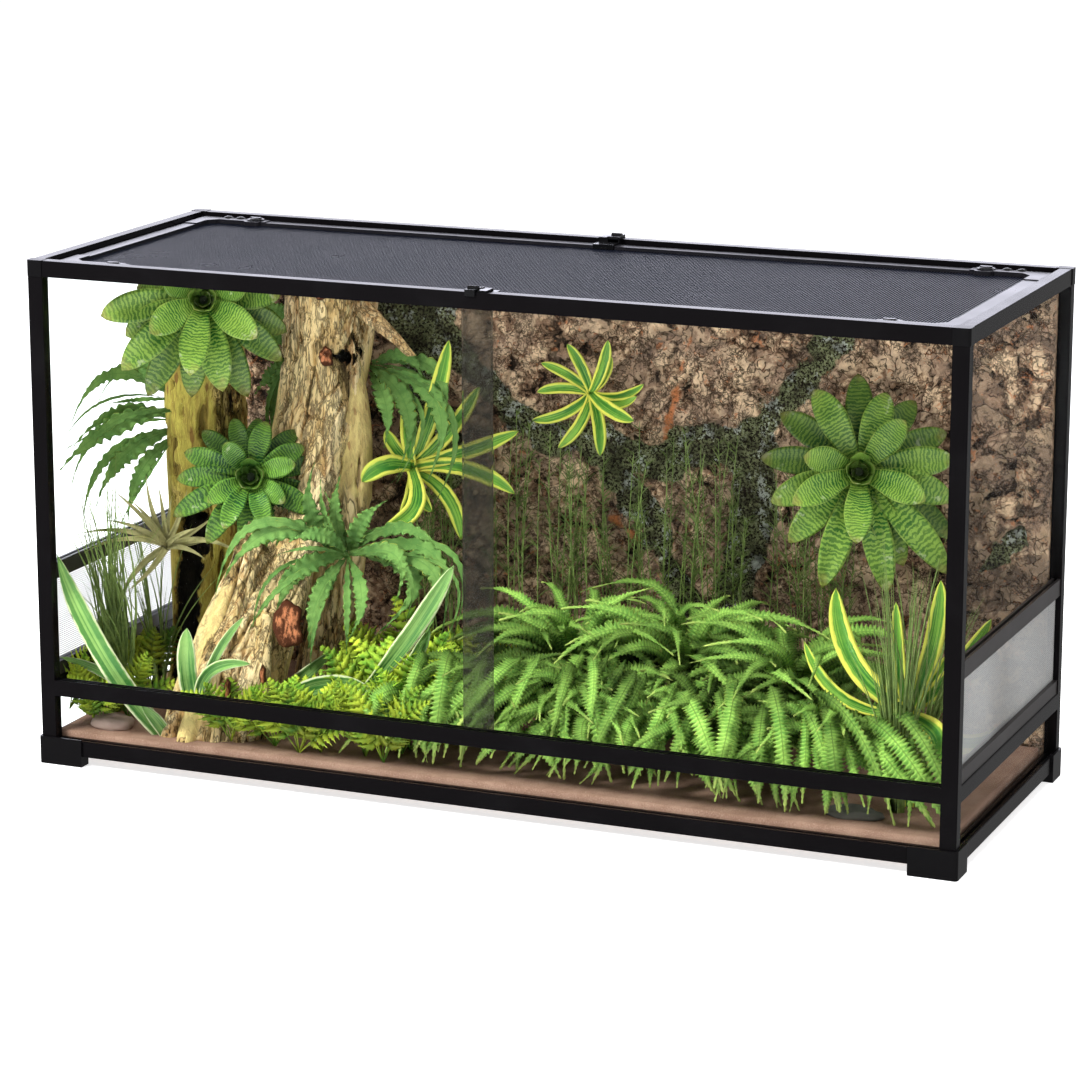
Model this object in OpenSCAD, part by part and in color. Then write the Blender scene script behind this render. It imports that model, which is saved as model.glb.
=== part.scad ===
// Framed glass terrarium: sliding front doors, side vents, lift-off screen lid and a planted interior.
// The origin is on the floor at the centre of the footprint, +Z is up and the doors face -Y.

/* [Cabinet] */
// Overall width over the feet
tank_w = 1200; // [1150:10:1400]
// Overall depth over the feet
tank_d = 450; // [440:5:560]
// Height from the floor to the top of the frame
tank_h = 640; // [620:5:760]

/* [Frame] */
// Depth of every rail, from its outer face to its inner face
rail_d = 15; // [15:0.5:18]
// Height of every rail
rail_h = 20; // [19:0.5:24]
// Width of a corner post seen from the front
post_w = 20; // [18:0.5:26]
// Wall of the hollow rails and posts
rail_wall = 1.6; // [1.2:0.1:2]
// Radius along the outer top edge of a rail
rail_round = 1.4; // [0.6:0.1:2]
// Height of the lower edge of the door sill above the floor
sill_z = 89; // [80:1:110]

/* [Feet and corners] */
// How far a foot stands proud of the frame
foot_proud = 3; // [2:0.5:5]
// Height of the pad under the rails
foot_pad = 13; // [10:1:18]
// Height of the outer wall of a foot
foot_h = 35; // [30:1:45]
// Length of a foot along the front
foot_arm_x = 60; // [40:1:80]
// Length of a foot along the side
foot_arm_y = 40; // [30:1:60]
// Radius of the upright outer edge of a foot
foot_round = 4; // [2:0.5:6]
// How far a top corner block stands proud of the frame
corner_proud = 1; // [0.5:0.25:2]
// How far a top corner block rises above the rails
corner_rise = 0.4; // [0.2:0.1:1]

/* [Glazing] */
// Thickness of the fixed glass panes
glass_t = 4; // [3:0.5:5]
// Clearance on each face of a fixed pane in its groove
glaze_gap = 0.3; // [0.2:0.1:0.5]
// Depth of a glazing groove
groove_dp = 4; // [3:0.5:5]
// Gap between the end of a pane and a post
pane_gap = 0.5; // [0.3:0.1:1]
// Thickness of the base panel
base_t = 4; // [3:0.5:6]
// Depth and height of the ledge that carries the base panel
base_ledge = [8, 2];

/* [Doors] */
// Thickness of a sliding door
door_t = 4; // [3:0.25:4.5]
// Clearance on each face of a door in its channel
door_gap = 0.3; // [0.3:0.05:0.4]
// How far the two closed doors overlap
door_overlap = 40; // [20:1:80]
// Gap between a closed door and the post
door_end_gap = 0.6; // [0.4:0.1:2]
// Height of the lower runner
low_runner_h = 6; // [5:0.5:7]
// Height of the upper runner, deep enough to lift a door out
top_runner_h = 10; // [9:0.5:12]
// Base of a runner
runner_base = 1.5; // [1:0.1:2]
// Outer walls of a runner
runner_wall = 0.6; // [0.5:0.1:0.8]
// Web between the two channels of a runner
runner_web = 0.9; // [0.7:0.1:1.2]
// Wall of the frame in front of the runners
sill_lip = 2.3; // [1.5:0.1:2.4]
// Room above a door for lifting it out
door_lift = 4.6; // [4.5:0.1:5]
// Thickness of the draught strip behind the edge of the left door
strip_t = 0.5; // [0.3:0.1:0.6]

/* [Side vents] */
// Height of the lower vent bar
vent_low_h = 17; // [12:1:24]
// Height of the mesh between the bars
vent_mesh_h = 108; // [80:1:140]
// Height of the upper vent bar with its glazing lip
vent_top_h = 21; // [16:1:26]
// Depth of the vent bars
vent_bar_d = 12; // [9:0.5:13]
// How far the vent bars sit back from the face of the frame
vent_set_back = 1.5; // [0.5:0.5:2]
// Thickness of the vent mesh
vent_mesh_t = 1; // [0.8:0.1:1.5]
// Rows of slots in the vent mesh
vent_rows = 18; // [10:1:24]
// Columns of slots in the vent mesh
vent_cols = 6; // [3:1:8]
// Width of the bars left between two slots of the vent mesh
vent_wire = 1.6; // [1.2:0.1:2.4]

/* [Lid] */
// Gap between the lid and the frame all round
lid_gap = 2.5; // [1.5:0.25:3]
// How far the lid's seat reaches under the lid
seat_reach = 6; // [5:0.5:8]
// Thickness of the seat
seat_t = 2.5; // [2:0.25:3.5]
// Width of a lid rail
lid_rail_w = 24; // [20:0.5:28]
// Height of a lid rail
lid_rail_h = 12; // [11:0.5:13]
// Radius along the outer top edge of a lid rail
lid_round = 8; // [4:0.5:9]
// Thickness of the lid mesh
lid_mesh_t = 1; // [0.8:0.1:1.5]
// How far the lid mesh lies below the top of the lid rails
mesh_drop = 4.5; // [3:0.5:6]
// How far the lid mesh reaches into the lid rails
mesh_bite = 5; // [3:0.5:7]
// Openings in the lid mesh along the tank
lid_mesh_cols = 12; // [6:1:12]
// Openings in the lid mesh across the tank
lid_mesh_rows = 8; // [4:1:12]
// Width of the bars left between two openings of the lid mesh
lid_mesh_bar = 6; // [4:0.5:10]
// How far a lid corner stands above the lid rails
lid_corner_rise = 1.2; // [0.8:0.1:1.5]
// Length of a lid corner along the front
lid_arm_x = 103; // [98:1:120]
// Length of a lid corner along the side
lid_arm_y = 64; // [50:1:80]

/* [Latches and ports] */
// Distance of a latch from the outer end of its lid corner
latch_in_x = 85; // [82:1:88]
// Distance of a latch from the outer edge of the lid
latch_in_y = 13; // [12:0.5:15]
// Radius of a latch shaft
latch_r = 3; // [2:0.25:3.5]
// Radial clearance of a latch shaft
latch_play = 0.2; // [0.15:0.05:0.3]
// Radius of a latch knob
knob_r = 11.5; // [9:0.5:12]
// Height of a latch knob
knob_h = 3.4; // [2.5:0.1:3.6]
// Reach of a latch tongue from its shaft
tongue_reach = 13; // [11.5:0.5:14]
// Width of a latch tongue
tongue_w = 5; // [4:0.5:6]
// Thickness of a latch tongue
tongue_t = 3.2; // [2:0.2:4]
// Clearance between a locked tongue and the seat it hooks under
tongue_gap = 0.8; // [0.4:0.1:2]
// Distances of the cable ports from the outer end of a lid corner
port_in_x = [42, 60];
// Distance of a cable port from the outer edge of the lid
port_in_y = 8; // [7:0.5:10]
// Radius of a cable port
port_r = 5.5; // [4:0.25:6]

/* [Lid clips] */
// Width of a clip bracket
clip_w = 28; // [24:1:40]
// Width of the clip lever
lever_w = 13; // [10:0.5:15]
// Thickness of the clip plates
clip_t = 2; // [1.5:0.1:2.5]
// Clearance of a clip above and in front of the frame
clip_gap = 0.5; // [0.4:0.1:1]
// Height of the ears above the saddle
ear_h = 7; // [6.5:0.25:9]
// Radius of the lever pin
lever_pin_r = 1.4; // [1:0.1:1.6]
// Radial clearance of the lever pin
lever_play = 0.2; // [0.15:0.05:0.3]

/* [Planting] */
// Height of the sand surface above the floor
sand_top = 42; // [36:1:60]
// Thickness of the bark wall
bark_t = 20; // [10:1:24]
// Gap left bare at the left end of the bark wall
bark_left_gap = 130; // [100:1:300]
// Thickness of the leaves
leaf_t = 2; // [1.5:0.25:3]
// Free height kept under the lid's seat
head_room = 8; // [5:1:20]

/* [Hidden] */

frame_black = [0.07, 0.07, 0.08];
plastic_black = [0.05, 0.05, 0.055];
vent_brown = [0.33, 0.3, 0.29];
glass_tint = [0.75, 0.88, 0.85, 0.3];
lid_grey = [0.5, 0.5, 0.53];
sand_pink = [0.72, 0.56, 0.47];
bark_brown = [0.42, 0.31, 0.24];
trunk_tan = [0.7, 0.58, 0.36];
leaf_green = [0.22, 0.48, 0.16];
leaf_lime = [0.6, 0.72, 0.2];
leaf_olive = [0.5, 0.5, 0.28];

// Overshoot of cutting shapes
cut = 1;

// Faces of the frame, measured from the centre
frame_x = tank_w / 2 - foot_proud;
frame_y = tank_d / 2 - foot_proud;
in_x = frame_x - rail_d;
in_y = frame_y - rail_d;
bay_x = frame_x - post_w;
top_z = tank_h - rail_h;
base_z = foot_pad + rail_h;
sill_top = sill_z + rail_h;

// Glazing lines
groove_w = glass_t + 2 * glaze_gap;
pane_x = frame_x - rail_d / 2;
pane_y = frame_y - rail_d / 2;

// Door channels
channel_w = door_t + 2 * door_gap;
runner_w = 2 * channel_w + runner_web + 2 * runner_wall;
front_door_y = -frame_y + sill_lip + runner_wall + door_gap;
rear_door_y = front_door_y + channel_w + runner_web;
door_bottom = sill_top - low_runner_h + runner_base + door_gap;
door_top = top_z + top_runner_h - runner_base - door_lift;
door_end_x = bay_x - door_end_gap;
door_w = door_end_x + door_overlap / 2;

// Side vent levels
vent_z = sill_top;
vent_mesh_z = vent_z + vent_low_h;
vent_bar_z = vent_mesh_z + vent_mesh_h;
side_pane_z = vent_bar_z + vent_top_h;
vent_groove_dp = 3;

// Lid
lid_x = in_x - lid_gap;
lid_y = in_y - lid_gap;
lid_z = top_z + seat_t;
lid_top = lid_z + lid_rail_h;
lid_corner_top = lid_top + lid_corner_rise;
seat_w = seat_reach + lid_gap;
mesh_z = lid_top - mesh_drop - lid_mesh_t;
mesh_play = 0.1;
latch_x = lid_x - latch_in_x;
latch_y = lid_y - latch_in_y;
tongue_z = top_z - tongue_gap - tongue_t;

// Clip
clip_y = lid_y - 3;
clip_z = lid_top + clip_t;
lever_z = clip_z + ear_h - 2.5;
ear_w = 1.6;

// Planting limits: the walls that the plants are placed from
left = -in_x;
right = in_x;
back = in_y - 1 - bark_t;
front = -in_y;
canopy = top_z - head_room;

$fn = 48;

// ---- Helpers ----

// Child drawn in the +x +y quadrant, moved to the quadrant with the given signs
module at_corner(sx, sy) {
    mirror([sx < 0 ? 1 : 0, 0, 0]) mirror([0, sy < 0 ? 1 : 0, 0]) children();
}

module at_all_corners() {
    for (sx = [-1, 1], sy = [-1, 1]) at_corner(sx, sy) children();
}

// Outline of a bar, x inward from its outer face and y up, with its outer top edge rounded
module bar_outline(w, h, r) {
    translate([r, 0]) square([w - r, h]);
    square([w, h - r]);
    intersection() {
        translate([r, h - r]) circle(r);
        square([w, h]);
    }
}

// Square in the +x +y quadrant, from the far corner inward, with that corner rounded
module corner_square(x, y, size_x, size_y, r) {
    translate([x - size_x, y - size_y]) square([size_x - r, size_y]);
    translate([x - size_x, y - size_y]) square([size_x, size_y - r]);
    translate([x - r, y - r]) circle(r);
}

// Profile carried along x, its outer face towards -y
module along_x(length) {
    rotate([90, 0, 90]) linear_extrude(length, center = true) children();
}

// Profile carried along y, its outer face towards -x
module along_y(length) {
    rotate([90, 0, 0]) linear_extrude(length, center = true) children();
}

// Children repeated on the left or on the right side
module on_side(side) {
    mirror([side > 0 ? 1 : 0, 0, 0]) children();
}

module glass_box(size, pos) {
    color(glass_tint) translate(pos) translate([-size.x / 2, -size.y / 2, 0]) cube(size);
}

// ---- Frame ----

module foot() {
    foot_t = foot_proud + rail_d;
    color(plastic_black) difference() {
        linear_extrude(foot_h) {
            corner_square(tank_w / 2, tank_d / 2, foot_arm_x, foot_t, foot_round);
            corner_square(tank_w / 2, tank_d / 2, foot_t, foot_arm_y, foot_round);
        }
        translate([frame_x - foot_arm_x, frame_y - foot_arm_y, foot_pad])
            cube([foot_arm_x, foot_arm_y, foot_h]);
    }
}

// Hollow core of a rail, between the given heights of its outline
module rail_core(low, high) {
    translate([rail_wall, low]) square([rail_d - 2 * rail_wall, high - low]);
}

module glazing_groove(v) {
    translate([rail_d / 2 - groove_w / 2, v]) square([groove_w, groove_dp + cut]);
}

module base_outline() {
    difference() {
        bar_outline(rail_d, rail_h, rail_round);
        glazing_groove(rail_h - groove_dp);
        rail_core(rail_wall, rail_h - groove_dp - rail_wall);
    }
}

module base_rail_x() {
    color(frame_black) translate([0, -frame_y, foot_pad]) {
        along_x(2 * bay_x) base_outline();
        along_x(2 * bay_x) translate([rail_d, 0]) square(base_ledge);
    }
}

module base_rail_y() {
    color(frame_black) translate([-frame_x, 0, foot_pad]) {
        along_y(2 * in_y) base_outline();
        along_y(2 * (in_y - base_ledge[0])) translate([rail_d, 0]) square(base_ledge);
    }
}

module base_panel() {
    glass_box([2 * (in_x - pane_gap), 2 * (in_y - pane_gap), base_t], [0, 0, foot_pad + base_ledge[1]]);
}

module post() {
    color(frame_black) translate([0, 0, foot_pad]) linear_extrude(top_z - foot_pad) difference() {
        corner_square(frame_x, frame_y, post_w, rail_d, rail_round);
        translate([bay_x + rail_wall, in_y + rail_wall])
            square([post_w - 2 * rail_wall, rail_d - 2 * rail_wall]);
    }
}

module seat_outline() {
    translate([rail_d, 0]) square([seat_w, seat_t]);
}

module top_rail_front() {
    color(frame_black) translate([0, -frame_y, top_z]) along_x(2 * bay_x) {
        difference() {
            bar_outline(rail_d, rail_h, rail_round);
            translate([sill_lip, -cut]) square([runner_w, top_runner_h + cut]);
            rail_core(top_runner_h + rail_wall, rail_h - rail_wall);
        }
        seat_outline();
    }
}

module top_outline() {
    difference() {
        bar_outline(rail_d, rail_h, rail_round);
        glazing_groove(-cut);
        rail_core(groove_dp + rail_wall, rail_h - rail_wall);
    }
}

module top_rail_back() {
    color(frame_black) mirror([0, 1, 0]) translate([0, -frame_y, top_z]) along_x(2 * bay_x) {
        top_outline();
        seat_outline();
    }
}

module top_rail_side() {
    color(frame_black) translate([-frame_x, 0, top_z]) {
        along_y(2 * in_y) top_outline();
        along_y(2 * (in_y - seat_w)) seat_outline();
    }
}

module top_corners() {
    color(plastic_black) at_all_corners() translate([0, 0, top_z]) linear_extrude(rail_h + corner_rise)
        corner_square(frame_x + corner_proud, frame_y + corner_proud,
            post_w + corner_proud, rail_d + corner_proud, foot_round);
}

module door_sill() {
    color(frame_black) translate([0, -frame_y, sill_z]) along_x(2 * bay_x) difference() {
        bar_outline(rail_d, rail_h, rail_round);
        translate([sill_lip, rail_h - low_runner_h]) square([runner_w, low_runner_h + cut]);
        glazing_groove(-cut);
        rail_core(groove_dp + rail_wall, rail_h - low_runner_h - rail_wall);
    }
}

// E-shaped outline with its two channels open upwards
module runner_outline(h) {
    difference() {
        square([runner_w, h]);
        for (i = [0, 1])
            translate([runner_wall + i * (channel_w + runner_web), runner_base]) square([channel_w, h]);
    }
}

module door_runners() {
    color(plastic_black) {
        translate([0, -frame_y + sill_lip, sill_top - low_runner_h])
            along_x(2 * bay_x) runner_outline(low_runner_h);
        translate([0, -frame_y + sill_lip, top_z + top_runner_h])
            along_x(2 * bay_x) mirror([0, 1]) runner_outline(top_runner_h);
    }
}

module side_rail() {
    color(frame_black) translate([-frame_x, 0, sill_z]) along_y(2 * in_y) difference() {
        bar_outline(rail_d, rail_h, rail_round);
        glazing_groove(-cut);
        rail_core(groove_dp + rail_wall, rail_h - rail_wall);
    }
}

// ---- Fixed glass ----

// Pane that stands in the groove below it and reaches into the groove above it
function pane_h(low, high) = high - low + 2 * groove_dp - pane_gap;

module kick_pane_front() {
    glass_box([2 * (bay_x - pane_gap), glass_t, pane_h(base_z, sill_z)], [0, -pane_y, base_z - groove_dp]);
}

module back_pane() {
    glass_box([2 * (bay_x - pane_gap), glass_t, pane_h(base_z, top_z)], [0, pane_y, base_z - groove_dp]);
}

module kick_pane_side() {
    glass_box([glass_t, 2 * (in_y - pane_gap), pane_h(base_z, sill_z)], [-pane_x, 0, base_z - groove_dp]);
}

module side_pane() {
    glass_box([glass_t, 2 * (in_y - pane_gap), pane_h(side_pane_z, top_z)],
        [-pane_x, 0, side_pane_z - groove_dp]);
}

// ---- Side vents ----

// Outline of a vent bar with a slot for the mesh at the given height
module vent_bar_outline(h, slot_v) {
    slot_w = vent_mesh_t + 2 * mesh_play;
    difference() {
        translate([vent_set_back, 0]) square([vent_bar_d, h]);
        translate([rail_d / 2 - slot_w / 2, slot_v]) square([slot_w, vent_groove_dp + cut]);
    }
}

module vent_frame() {
    color(vent_brown) {
        translate([-frame_x, 0, vent_z]) along_y(2 * in_y)
            vent_bar_outline(vent_low_h, vent_low_h - vent_groove_dp);
        translate([-frame_x, 0, vent_bar_z]) along_y(2 * in_y) difference() {
            vent_bar_outline(vent_top_h, -cut);
            glazing_groove(vent_top_h - groove_dp);
        }
    }
}

module vent_mesh() {
    mesh_w = 2 * (in_y - pane_gap);
    pitch_y = mesh_w / vent_cols;
    pitch_z = vent_mesh_h / vent_rows;
    full_h = vent_mesh_h + 2 * vent_groove_dp - pane_gap;
    color(vent_brown) difference() {
        translate([-pane_x - vent_mesh_t / 2, -mesh_w / 2, vent_mesh_z - vent_groove_dp])
            cube([vent_mesh_t, mesh_w, full_h]);
        for (i = [0 : vent_cols - 1], j = [0 : vent_rows - 1])
            translate([-pane_x - vent_mesh_t, -mesh_w / 2 + i * pitch_y + vent_wire / 2,
                    vent_mesh_z + j * pitch_z + vent_wire / 2])
                cube([2 * vent_mesh_t, pitch_y - vent_wire, pitch_z - vent_wire]);
    }
}

// ---- Doors ----

module door_left() {
    glass_box([door_w, door_t, door_top - door_bottom],
        [-door_end_x + door_w / 2, front_door_y + door_t / 2, door_bottom]);
}

module door_right() {
    glass_box([door_w, door_t, door_top - door_bottom],
        [door_end_x - door_w / 2, rear_door_y + door_t / 2, door_bottom]);
}

// Smoky draught strip on the inside of the left door, as wide as the overlap
module door_strip() {
    color([0.3, 0.3, 0.28, 0.6])
        translate([-door_overlap / 2, front_door_y + door_t, sill_top + cut])
            cube([door_overlap, strip_t, top_z - sill_top - 2 * cut]);
}

// ---- Lid ----

// Room for the mesh inside the rails and corners of the lid
module mesh_room() {
    half_x = lid_x - lid_rail_w + mesh_bite;
    half_y = lid_y - lid_rail_w + mesh_bite;
    translate([-half_x - mesh_play, -half_y - mesh_play, mesh_z - mesh_play])
        cube([2 * (half_x + mesh_play), 2 * (half_y + mesh_play), lid_mesh_t + 2 * mesh_play]);
}

module lid_rails() {
    color(lid_grey) difference() {
        translate([0, 0, lid_z]) for (side = [-1, 1]) {
            mirror([0, side > 0 ? 1 : 0, 0]) translate([0, -lid_y, 0])
                along_x(2 * (lid_x - lid_arm_x)) bar_outline(lid_rail_w, lid_rail_h, lid_round);
            on_side(side) translate([-lid_x, 0, 0])
                along_y(2 * (lid_y - lid_arm_y)) bar_outline(lid_rail_w, lid_rail_h, lid_round);
        }
        mesh_room();
    }
}

module lid_mesh() {
    half_x = lid_x - lid_rail_w + mesh_bite;
    half_y = lid_y - lid_rail_w + mesh_bite;
    pitch_x = 2 * (half_x - mesh_bite) / lid_mesh_cols;
    pitch_y = 2 * (half_y - mesh_bite) / lid_mesh_rows;
    color([0.12, 0.12, 0.14]) difference() {
        translate([-half_x, -half_y, mesh_z]) cube([2 * half_x, 2 * half_y, lid_mesh_t]);
        for (i = [0 : lid_mesh_cols - 1], j = [0 : lid_mesh_rows - 1])
            translate([mesh_bite - half_x + i * pitch_x + lid_mesh_bar / 2,
                    mesh_bite - half_y + j * pitch_y + lid_mesh_bar / 2, mesh_z - cut])
                cube([pitch_x - lid_mesh_bar, pitch_y - lid_mesh_bar, lid_mesh_t + 2 * cut]);
    }
}

// Plan of a lid corner: two arms, a lobe behind the latch and a filled inner angle
module lid_corner_plan() {
    lobe = 6;
    angle = 12;
    corner_square(lid_x, lid_y, lid_arm_x, lid_rail_w, lid_round);
    corner_square(lid_x, lid_y, lid_rail_w, lid_arm_y, lid_round);
    for (s = [-1, 1])
        translate([latch_x + s * knob_r / 2, lid_y - lid_rail_w]) circle(lobe);
    translate([latch_x - knob_r / 2, lid_y - lid_rail_w - lobe]) square([knob_r, lobe]);
    translate([lid_x - lid_rail_w, lid_y - lid_rail_w])
        polygon([[1, 1], [1, -angle], [0, -angle], [-angle, 0], [-angle, 1]]);
}

// Rounds the two outer top edges of a lid corner
module lid_edge_cutter() {
    r = lid_round;
    difference() {
        translate([lid_x - lid_arm_x - cut, lid_y - r, lid_corner_top - r])
            cube([lid_arm_x + 2 * cut, r + cut, r + cut]);
        translate([lid_x - lid_arm_x - 2 * cut, lid_y - r, lid_corner_top - r])
            rotate([0, 90, 0]) cylinder(r = r, h = lid_arm_x + 4 * cut);
    }
    difference() {
        translate([lid_x - r, lid_y - lid_arm_y - cut, lid_corner_top - r])
            cube([r + cut, lid_arm_y + 2 * cut, r + cut]);
        translate([lid_x - r, lid_y - lid_arm_y - 2 * cut, lid_corner_top - r])
            rotate([-90, 0, 0]) cylinder(r = r, h = lid_arm_y + 4 * cut);
    }
}

module lid_corner() {
    difference() {
        translate([0, 0, lid_z]) linear_extrude(lid_corner_top - lid_z) lid_corner_plan();
        lid_edge_cutter();
        mesh_room();
        translate([latch_x, latch_y, lid_z - cut])
            cylinder(r = latch_r + latch_play, h = lid_corner_top - lid_z + 2 * cut);
        for (x = port_in_x)
            translate([lid_x - x, lid_y - port_in_y, lid_z - cut])
                cylinder(r = port_r + mesh_play, h = lid_corner_top - lid_z + 2 * cut);
    }
}

module lid_corners() {
    color(lid_grey) at_all_corners() lid_corner();
}

// Dome with its flat side down
module dome(r, h) {
    ball_r = (r * r + h * h) / (2 * h);
    difference() {
        translate([0, 0, h - ball_r]) sphere(ball_r);
        translate([-2 * ball_r, -2 * ball_r, -4 * ball_r]) cube(4 * ball_r);
    }
}

module port_plugs() {
    head_gap = 0.2;
    head_over = 1.2;
    color(plastic_black) at_all_corners() for (x = port_in_x) translate([lid_x - x, lid_y - port_in_y, 0]) {
        translate([0, 0, lid_z]) cylinder(r = port_r, h = lid_corner_top + head_gap - lid_z);
        translate([0, 0, lid_corner_top + head_gap]) dome(port_r + head_over, 2.2);
    }
}

// Turn latch of the +x +y corner, its tongue pointing at +x when open
module latch_at(x, y, turn) {
    collar = 1;
    gap = 0.4;
    knob_z = lid_corner_top + gap;
    grip_w = 4;
    color(plastic_black) translate([x, y, 0]) rotate([0, 0, turn]) {
        translate([0, 0, tongue_z]) cylinder(r = latch_r, h = knob_z - tongue_z + collar);
        translate([0, -tongue_w / 2, tongue_z])
            cube([tongue_reach - tongue_w / 2, tongue_w, tongue_t]);
        translate([tongue_reach - tongue_w / 2, 0, tongue_z]) cylinder(r = tongue_w / 2, h = tongue_t);
        translate([0, 0, knob_z]) cylinder(r = knob_r, h = collar);
        translate([0, 0, knob_z + collar]) dome(knob_r - 1, knob_h - collar);
        translate([-knob_r + grip_w, -grip_w / 2, knob_z]) cube([2 * (knob_r - grip_w), grip_w, knob_h]);
    }
}

// ---- Lid clips: the one at the back, turned half round for the front ----

module clip_bracket() {
    skirt_z = mesh_z + lid_mesh_t + clip_gap;
    y_in = lid_y - lid_rail_w;
    plate_x = -clip_w / 2;
    plate_w = clip_w - lever_w - 2 * ear_w - 2 * clip_gap;
    arm_end = frame_y - clip_t;
    color(plastic_black) difference() {
        union() {
            translate([plate_x, y_in - clip_t, lid_top]) cube([clip_w, lid_rail_w + clip_t - 3, clip_t]);
            translate([plate_x, y_in - clip_t, skirt_z]) cube([clip_w, clip_t, lid_top - skirt_z + clip_t]);
            translate([plate_x, clip_y - 3, lid_top]) cube([plate_w, 5, tank_h + clip_gap + clip_t - lid_top]);
            translate([plate_x, clip_y - 3, tank_h + clip_gap]) cube([plate_w, arm_end - clip_y + 3, clip_t]);
            for (x = [plate_x + plate_w, clip_w / 2 - ear_w])
                translate([x, clip_y - 3, clip_z - clip_t]) cube([ear_w, 6, ear_h + clip_t]);
        }
        translate([plate_x - cut, clip_y, lever_z]) rotate([0, 90, 0])
            cylinder(r = lever_pin_r + lever_play, h = clip_w + 2 * cut);
    }
}

module clip_lever() {
    lever_x = clip_w / 2 - ear_w - clip_gap - lever_w;
    barrel_r = 2.5;
    arm_t = 3;
    arm_z = tank_h + clip_gap;
    lip_t = clip_t;
    lip_y = frame_y + clip_gap;
    bump_r = 4;
    color(plastic_black) {
        translate([lever_x - clip_gap - ear_w, clip_y, lever_z]) rotate([0, 90, 0])
            cylinder(r = lever_pin_r, h = lever_w + 2 * clip_gap + 2 * ear_w);
        translate([lever_x, clip_y, lever_z]) rotate([0, 90, 0]) cylinder(r = barrel_r, h = lever_w);
        translate([lever_x, clip_y, arm_z]) cube([lever_w, lip_y + lip_t - clip_y, arm_t]);
        translate([lever_x, lip_y, arm_z - 5]) cube([lever_w, lip_t, 5 + arm_t]);
        intersection() {
            translate([lever_x, clip_y + 11, arm_z + arm_t - 1]) rotate([0, 90, 0])
                cylinder(r = bump_r, h = lever_w);
            translate([lever_x, clip_y, arm_z]) cube([lever_w, 2 * bump_r + 11, 2 * bump_r]);
        }
    }
}

// ---- Planting ----

module substrate() {
    z = foot_pad + base_ledge[1] + base_t;
    edge = 1;
    color(sand_pink) translate([0, 0, z]) linear_extrude(sand_top - z) {
        translate([left + edge, front + edge]) square([right - left - 2 * edge, back - front - edge]);
        translate([left + edge, back - cut]) square([bark_left_gap - 2 * edge, bark_t + cut]);
    }
}

module bark_wall() {
    z = foot_pad + base_ledge[1] + base_t;
    color(bark_brown) translate([left + bark_left_gap, back, z])
        cube([right - left - bark_left_gap - 1, bark_t, canopy - z]);
}

// Trunk through a list of rings, each [x, y, z, radius]
module trunk(rings) {
    for (i = [0 : len(rings) - 2]) hull() {
        trunk_ring(rings[i]);
        trunk_ring(rings[i + 1]);
    }
}

module trunk_ring(ring) {
    translate([ring[0], ring[1], ring[2]]) cylinder(r = ring[3], h = 1, $fn = 16);
}

// Ring at a fraction of the way between two rings
function ring_mix(a, b, t) = a * (1 - t) + b * t;

// Rings of a trunk with each span cut in two, so that its sides follow the bends
function fine_rings(rings) = [
    for (i = [0 : len(rings) - 2], t = [0, 0.5]) ring_mix(rings[i], rings[i + 1], t),
    rings[len(rings) - 1]
];

upright_x = left + 75;
upright_y = 60;
upright_top = canopy - 40;
upright_rings = [
    [upright_x - 4, upright_y, sand_top, 62],
    [upright_x, upright_y, sand_top + 60, 52],
    [upright_x + 2, upright_y, sand_top + 220, 50],
    [upright_x + 6, upright_y, upright_top - 140, 54],
    [upright_x + 10, upright_y, upright_top, 50]
];

module trunk_upright() {
    color(trunk_tan) trunk(fine_rings(upright_rings));
}

lean_x = left + 200;
leaning_rings = [
    [lean_x, front + 85, sand_top, 62],
    [lean_x - 5, front + 97, sand_top + 40, 56],
    [lean_x + 8, -40, sand_top + 148, 52],
    [lean_x + 18, 36, sand_top + 262, 49],
    [lean_x + 40, 86, sand_top + 385, 56],
    [lean_x + 42, 108, canopy - 4, 66]
];
stub_rings = [
    [lean_x + 40, 42, sand_top, 42],
    [lean_x + 50, 54, sand_top + 90, 34],
    [lean_x + 68, 64, sand_top + 186, 31]
];

module trunk_leaning() {
    color(trunk_tan) union() {
        trunk(fine_rings(leaning_rings));
        trunk(fine_rings(stub_rings));
        trunk([[lean_x, front + 85, sand_top, 40], [lean_x + 40, 42, sand_top, 30]]);
    }
}

// Point and angle along a leaf that leaves its root at the angle rise and bends down by droop
function leaf_angle(rise, droop, t) = rise - droop * t;
function leaf_point(size, rise, droop, t) =
    let (k = size * 180 / (PI * droop))
    [k * (sin(rise) - sin(leaf_angle(rise, droop, t))), 0, k * (cos(leaf_angle(rise, droop, t)) - cos(rise))];

// Width of a leaf along its length, as a share of its full width
function leaf_share(t) = t < 0.4 ? 0.55 + 0.45 * t / 0.4 : 1 - 0.88 * pow((t - 0.4) / 0.6, 2);

module leaf_section(size, w, rise, droop, t) {
    translate(leaf_point(size, rise, droop, t)) rotate([0, -leaf_angle(rise, droop, t), 0])
        cube([0.5, w * leaf_share(t), leaf_t], center = true);
}

// Arched leaf along +x that starts at a distance from the axis, made of two straight spans
module leaf(size, w, rise, droop, root) {
    steps = [0, 0.5, 1];
    translate([root, 0, 0]) for (i = [0 : len(steps) - 2]) hull() {
        leaf_section(size, w, rise, droop, steps[i]);
        leaf_section(size, w, rise, droop, steps[i + 1]);
    }
}

// Turn between two leaves that follow each other on a stem
golden = 137.5;

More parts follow.
